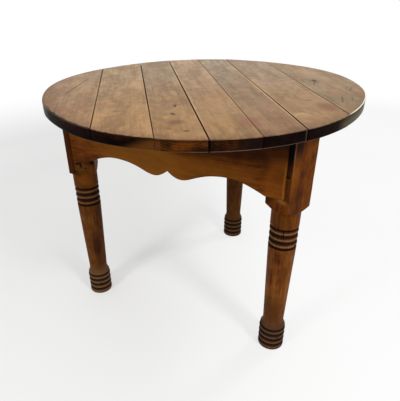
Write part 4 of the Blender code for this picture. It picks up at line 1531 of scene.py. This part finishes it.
def add_apron(name):
    """A shaped board with mitred shoulders and a tenon at both ends, bored for its pegs."""
    seed = APRON_SEED + SEED_STEP * list(APRON_ANGLES).index(name)
    edge = lower_edge()
    face_end, back_end = (face_along(x) - FIT_GAP * 2 for x in (APRON_FACE, APRON_BACK))
    corners = ((APRON_ARRIS, 4), (APRON_ARRIS / 2, 2), (APRON_ARRIS / 2, 2), (APRON_ARRIS, 3))
    rings = []
    for station in np.linspace(-face_end, face_end, APRON_STATIONS):
        height = np.interp(abs(station), edge[:, 0], edge[:, 1])
        outline = section((APRON_BACK, height), (APRON_FACE, FRAME_TOP), corners, APRON_SIDES)
        past = max(0.0, abs(station) - SCALLOP_HALF_LENGTH) / (face_end - SCALLOP_HALF_LENGTH)
        depth = (APRON_FACE - outline[:, 0]) / (APRON_FACE - APRON_BACK)
        along = station - math.copysign(past, station) * depth * (face_end - back_end)
        points = np.column_stack((outline[:, 0], along, outline[:, 1]))
        points[:, 0] += APRON_WAVE * ripple(points, APRON_WAVES, seed) * (1 - past)
        near = np.clip(1 - (outline[:, 1] - height) / EDGE_WOBBLE_REACH, 0, 1)
        points[:, 2] += EDGE_WOBBLE * near * ripple(points, EDGE_WAVES, seed + 4)
        rings.append(points)
    apron = skin(name + "_worn", rings)
    tenons = [tenon_box(f"{name}_tenon_{end}", end, 0) for end in (-1, 1)]
    combine(apron, tenons, "UNION")
    angle = APRON_ANGLES[name]
    place(apron, angle)
    cutters = [swollen_copy(f"{name}_{leg}_peg") for leg in APRON_LEGS[name]]
    if name == "right_apron":
        cutters += [swollen_copy(batten) for batten in BATTENS]
    combine(apron, cutters, "DIFFERENCE")
    local = own_points(apron, angle)
    above = local[:, 2] - np.interp(np.abs(local[:, 1]), edge[:, 0], edge[:, 1])
    end = face_along(local[:, 0]) - np.abs(local[:, 1])
    grain, edge = local[:, [2, 0, 1]], np.column_stack((above, FRAME_TOP - local[:, 2], end))
    dress(apron, name, "apron_wood", [apron_finish(seed)], grain=grain, edge=edge)


# Battens, glue blocks and pegs


def stick(name, stations, outline_at, seed):
    """Sawn stick along X with softened ends. outline_at gives its section in Y and Z at a station."""
    rings = []
    for station in stations:
        outline = outline_at(station)
        past = min(station - stations[0], stations[-1] - station)
        if past < STICK_ARRIS:
            middle = outline.mean(0)
            reach = np.abs(outline - middle).max()
            outline = middle + (outline - middle) * (1 - (STICK_ARRIS - past) / reach)
        points = np.column_stack((np.full(len(outline), station), outline))
        points[:, 1] += STICK_WAVE * ripple(points, SIDE_WAVES, seed)
        points[:, 2] -= STICK_WAVE * np.abs(ripple(points, FACE_WAVES, seed + 5))
        rings.append(points)
    return skin(name, rings)


def stick_stations(start, end, spacing):
    count = math.ceil((end - start) / spacing)
    inside = np.linspace(start + STICK_ARRIS, end - STICK_ARRIS, count + 1)
    return np.concatenate(([start], inside, [end]))


def add_batten(name, seed):
    low, high = node_span(name, TOP_TURN)
    corners = (STICK_CORNER,) * 4

    def outline_at(station):
        past = min(station - low[0], high[0] - station)
        share = min(1.0, past / BATTEN_END_SLOPE)
        bottom = high[2] - BATTEN_END_DEPTH - (high[2] - BATTEN_END_DEPTH - low[2]) * share
        return section((low[1], bottom), (high[1], high[2]), corners, BATTEN_SIDES)

    batten = stick(name + "_worn", stick_stations(low[0], high[0], BATTEN_STEP), outline_at, seed)
    place(batten, TOP_TURN)
    combine(batten, [swollen_copy(screw) for screw in screws_within(low, high, 1)], "DIFFERENCE")
    dress(batten, name, "inner_wood", [INNER_WOOD], grain=own_points(batten, TOP_TURN)[:, [1, 2, 0]])


def add_glue_block(apron, leg, seed):
    node = f"{apron}_{leg}_glue_block"
    angle = APRON_ANGLES[apron] - math.pi / 2
    low, high = node_span(node, angle)
    corners = (STICK_CORNER,) * 3 + ((GLUE_BLOCK_CUT, 1),)
    outline = section((low[1], low[2]), (high[1], high[2]), corners, GLUE_BLOCK_SIDES)
    if not cut_is_low(node, angle, low):
        outline[:, 0] = low[1] + high[1] - outline[:, 0]
    stations = stick_stations(low[0], high[0], GLUE_BLOCK_STEP)
    block = stick(node + "_worn", stations, lambda station: outline, seed)
    place(block, angle)
    dress(block, node, "inner_wood", [INNER_WOOD], grain=own_points(block, angle)[:, [1, 2, 0]])


def cut_is_low(node, angle, low):
    """Whether a glue block's cut corner is at the lower end of Y, in a frame turned about Z."""
    points = turned(node_points(node), -angle)
    bottom = points[points[:, 2] < low[2] + FIT_GAP]
    return bottom[:, 1].min() > low[1] + FIT_GAP


def add_peg(apron, leg):
    """A hand-cut peg with a domed end, just past the apron's end."""
    node = f"{apron}_{leg}_peg"
    leg_angle, apron_angle = LEG_ANGLES[leg], APRON_ANGLES[apron]
    out = np.array((-math.sin(leg_angle), math.cos(leg_angle), 0.0))
    out *= math.copysign(1.0, out[0] * math.cos(apron_angle) + out[1] * math.sin(apron_angle))
    points = node_points(node)
    reach = points @ out
    ends = []
    for chosen in (reach > reach.max() - FIT_GAP, reach < reach.min() + FIT_GAP):
        middle = points[chosen].mean(0)
        ends.append((middle, np.linalg.norm(points[chosen] - middle, axis=1).max()))
    (head, radius), (tail, tail_radius) = ends
    up = np.array((0.0, 0.0, 1.0))
    side = np.cross(up, out)
    turns = np.linspace(0, math.tau, PEG_SIDES, endpoint=False)
    flats = 1 - PEG_FLATS * (1 - np.cos(PEG_FACETS * turns)) / 2
    outline = flats[:, None] * (np.cos(turns)[:, None] * side + np.sin(turns)[:, None] * up)
    rings = []
    for share in PEG_DOME_SHARES:
        lift = PEG_DOME * math.sqrt(1 - share**2) - PEG_DOME / 2
        rings.append(head + out * lift + radius * share * outline)
    for way in PEG_STATIONS:
        wide = radius + (tail_radius - radius) * way
        rings.append(head + (tail - head) * way + wide * outline)
    peg = skin(node + "_worn", rings)
    local = own_points(peg) - head
    grain = np.column_stack((local @ side, local @ up, local @ out))
    dress(peg, node, "peg_wood", [PEG_WOOD], grain=grain)


# Camera, light and floor


def add_camera():
    data = bpy.data.cameras.new("camera")
    data.lens = CAMERA_LENS
    data.sensor_width = CAMERA_SENSOR
    data.shift_x, data.shift_y = CAMERA_SHIFT
    camera = linked("camera", data)
    axes = Matrix((CAMERA_RIGHT, -CAMERA_DOWN, -CAMERA_FORWARD)).transposed()
    camera.matrix_world = Matrix.Translation(CAMERA_PLACE) @ axes.to_4x4()
    bpy.context.scene.camera = camera


def add_lamps():
    middle = Vector((0, 0, TABLE_HEIGHT / 2))
    for name, (azimuth, elevation, power) in LAMPS.items():
        data = bpy.data.lights.new(name, "AREA")
        data.size = LAMP_SIZE
        data.energy = power
        lamp = linked(name, data)
        level = math.cos(elevation)
        towards = Vector((level * math.cos(azimuth), level * math.sin(azimuth), math.sin(elevation)))
        lamp.location = middle + towards * LAMP_DISTANCE
        lamp.rotation_mode = "QUATERNION"
        lamp.rotation_quaternion = towards.to_track_quat("Z", "Y")


def seen_directly(tree):
    """Share that is 1 for what the camera sees, also in gloss and through glass."""
    rays = tree.nodes.new("ShaderNodeLightPath")
    share = rays.outputs["Is Camera Ray"]
    for kind in ("Is Glossy Ray", "Is Transmission Ray"):
        either = tree.nodes.new("ShaderNodeMath")
        either.operation = "MAXIMUM"
        tree.links.new(share, either.inputs[0])
        tree.links.new(rays.outputs[kind], either.inputs[1])
        share = either.outputs[0]
    return share


def add_world():
    world = bpy.data.worlds.new("studio")
    world.use_nodes = True
    bpy.context.scene.world = world
    background = world.node_tree.nodes["Background"]
    background.inputs["Color"].default_value = (1.0, 1.0, 1.0, 1.0)
    strength = world.node_tree.nodes.new("ShaderNodeMapRange")
    strength.inputs["To Min"].default_value = WORLD_LIGHT
    world.node_tree.links.new(seen_directly(world.node_tree), strength.inputs["Value"])
    world.node_tree.links.new(strength.outputs[0], background.inputs["Strength"])


def add_floor():
    """Pale floor that fades into the white background away from the table, with painted light that lightens
    its shadows and brightens its right side.
    """
    half = FLOOR_SIZE / 2
    corners = [(-half, -half, 0), (half, -half, 0), (half, half, 0), (-half, half, 0)]
    mesh = bpy.data.meshes.new("floor")
    mesh.from_pydata(corners, [], [(0, 1, 2, 3)])
    floor = linked("floor", mesh)
    look = Look("floor_paper", 0.0)
    place_on_floor = look.object_place()
    look.name_parts(place_on_floor, "x", "y", "z")
    cloud = look.noise(place_on_floor, 1.5, 2.0)
    tint = look.mix(look.span(cloud, 0.3, 0.7), shade(*FLOOR_SHADE), shade(*FLOOR_CLOUD_SHADE))
    look.feed(look.shader.inputs["Base Color"], tint)
    look.shader.inputs["Roughness"].default_value = 0.9
    to_right = look.mask(("x", *RIGHT_FADE, *RIGHT_FADE_SHARES))
    fade = look.maths("MAXIMUM", to_right, look.span(look.length(place_on_floor), *FAR_FADE))
    fade = look.maths("MULTIPLY", fade, seen_directly(look.tree))
    white = look.node("Emission", {"Color": (1, 1, 1, 1), "Strength": 1.0}).outputs[0]
    blend = look.node("MixShader", {0: fade, 1: look.shader.outputs[0], 2: white}).outputs[0]
    look.tree.links.new(blend, look.tree.nodes["Material Output"].inputs["Surface"])
    mesh.materials.append(look.material)


INNER_WOOD = raw_finish("inner_wood_finish", (88, 58, 36), (142, 104, 70))
UNDERSIDE_WOOD = raw_finish("underside_wood_finish", (72, 46, 28), (122, 86, 56))
PEG_WOOD = raw_finish("peg_wood_finish", (48, 24, 8), (84, 46, 16), 0.04)

add_camera()
add_world()
add_lamps()
add_floor()
for number in range(1, BOARD_COUNT + 1):
    add_board(number)
for leg in LEG_ANGLES:
    add_leg(leg)
for apron in APRON_ANGLES:
    add_apron(apron)
for seed, batten in enumerate(BATTENS, BATTEN_SEED):
    add_batten(batten, seed)
for seed, (apron, legs) in enumerate(APRON_LEGS.items(), GLUE_BLOCK_SEED):
    for leg in legs:
        add_glue_block(apron, leg, seed)
        add_peg(apron, leg)
TONGUE_WOOD = plain_wood_finish("tongue_wood_finish", (40, 25, 15), (74, 48, 30))
SCREW_IRON = iron_finish()
for name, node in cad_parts.items():
    if name.startswith("tongue"):
        node.data.materials[0] = TONGUE_WOOD
    if name.startswith("batten_screw"):
        node.data.materials[0] = SCREW_IRON

bpy.context.scene.view_settings.view_transform = "Standard"
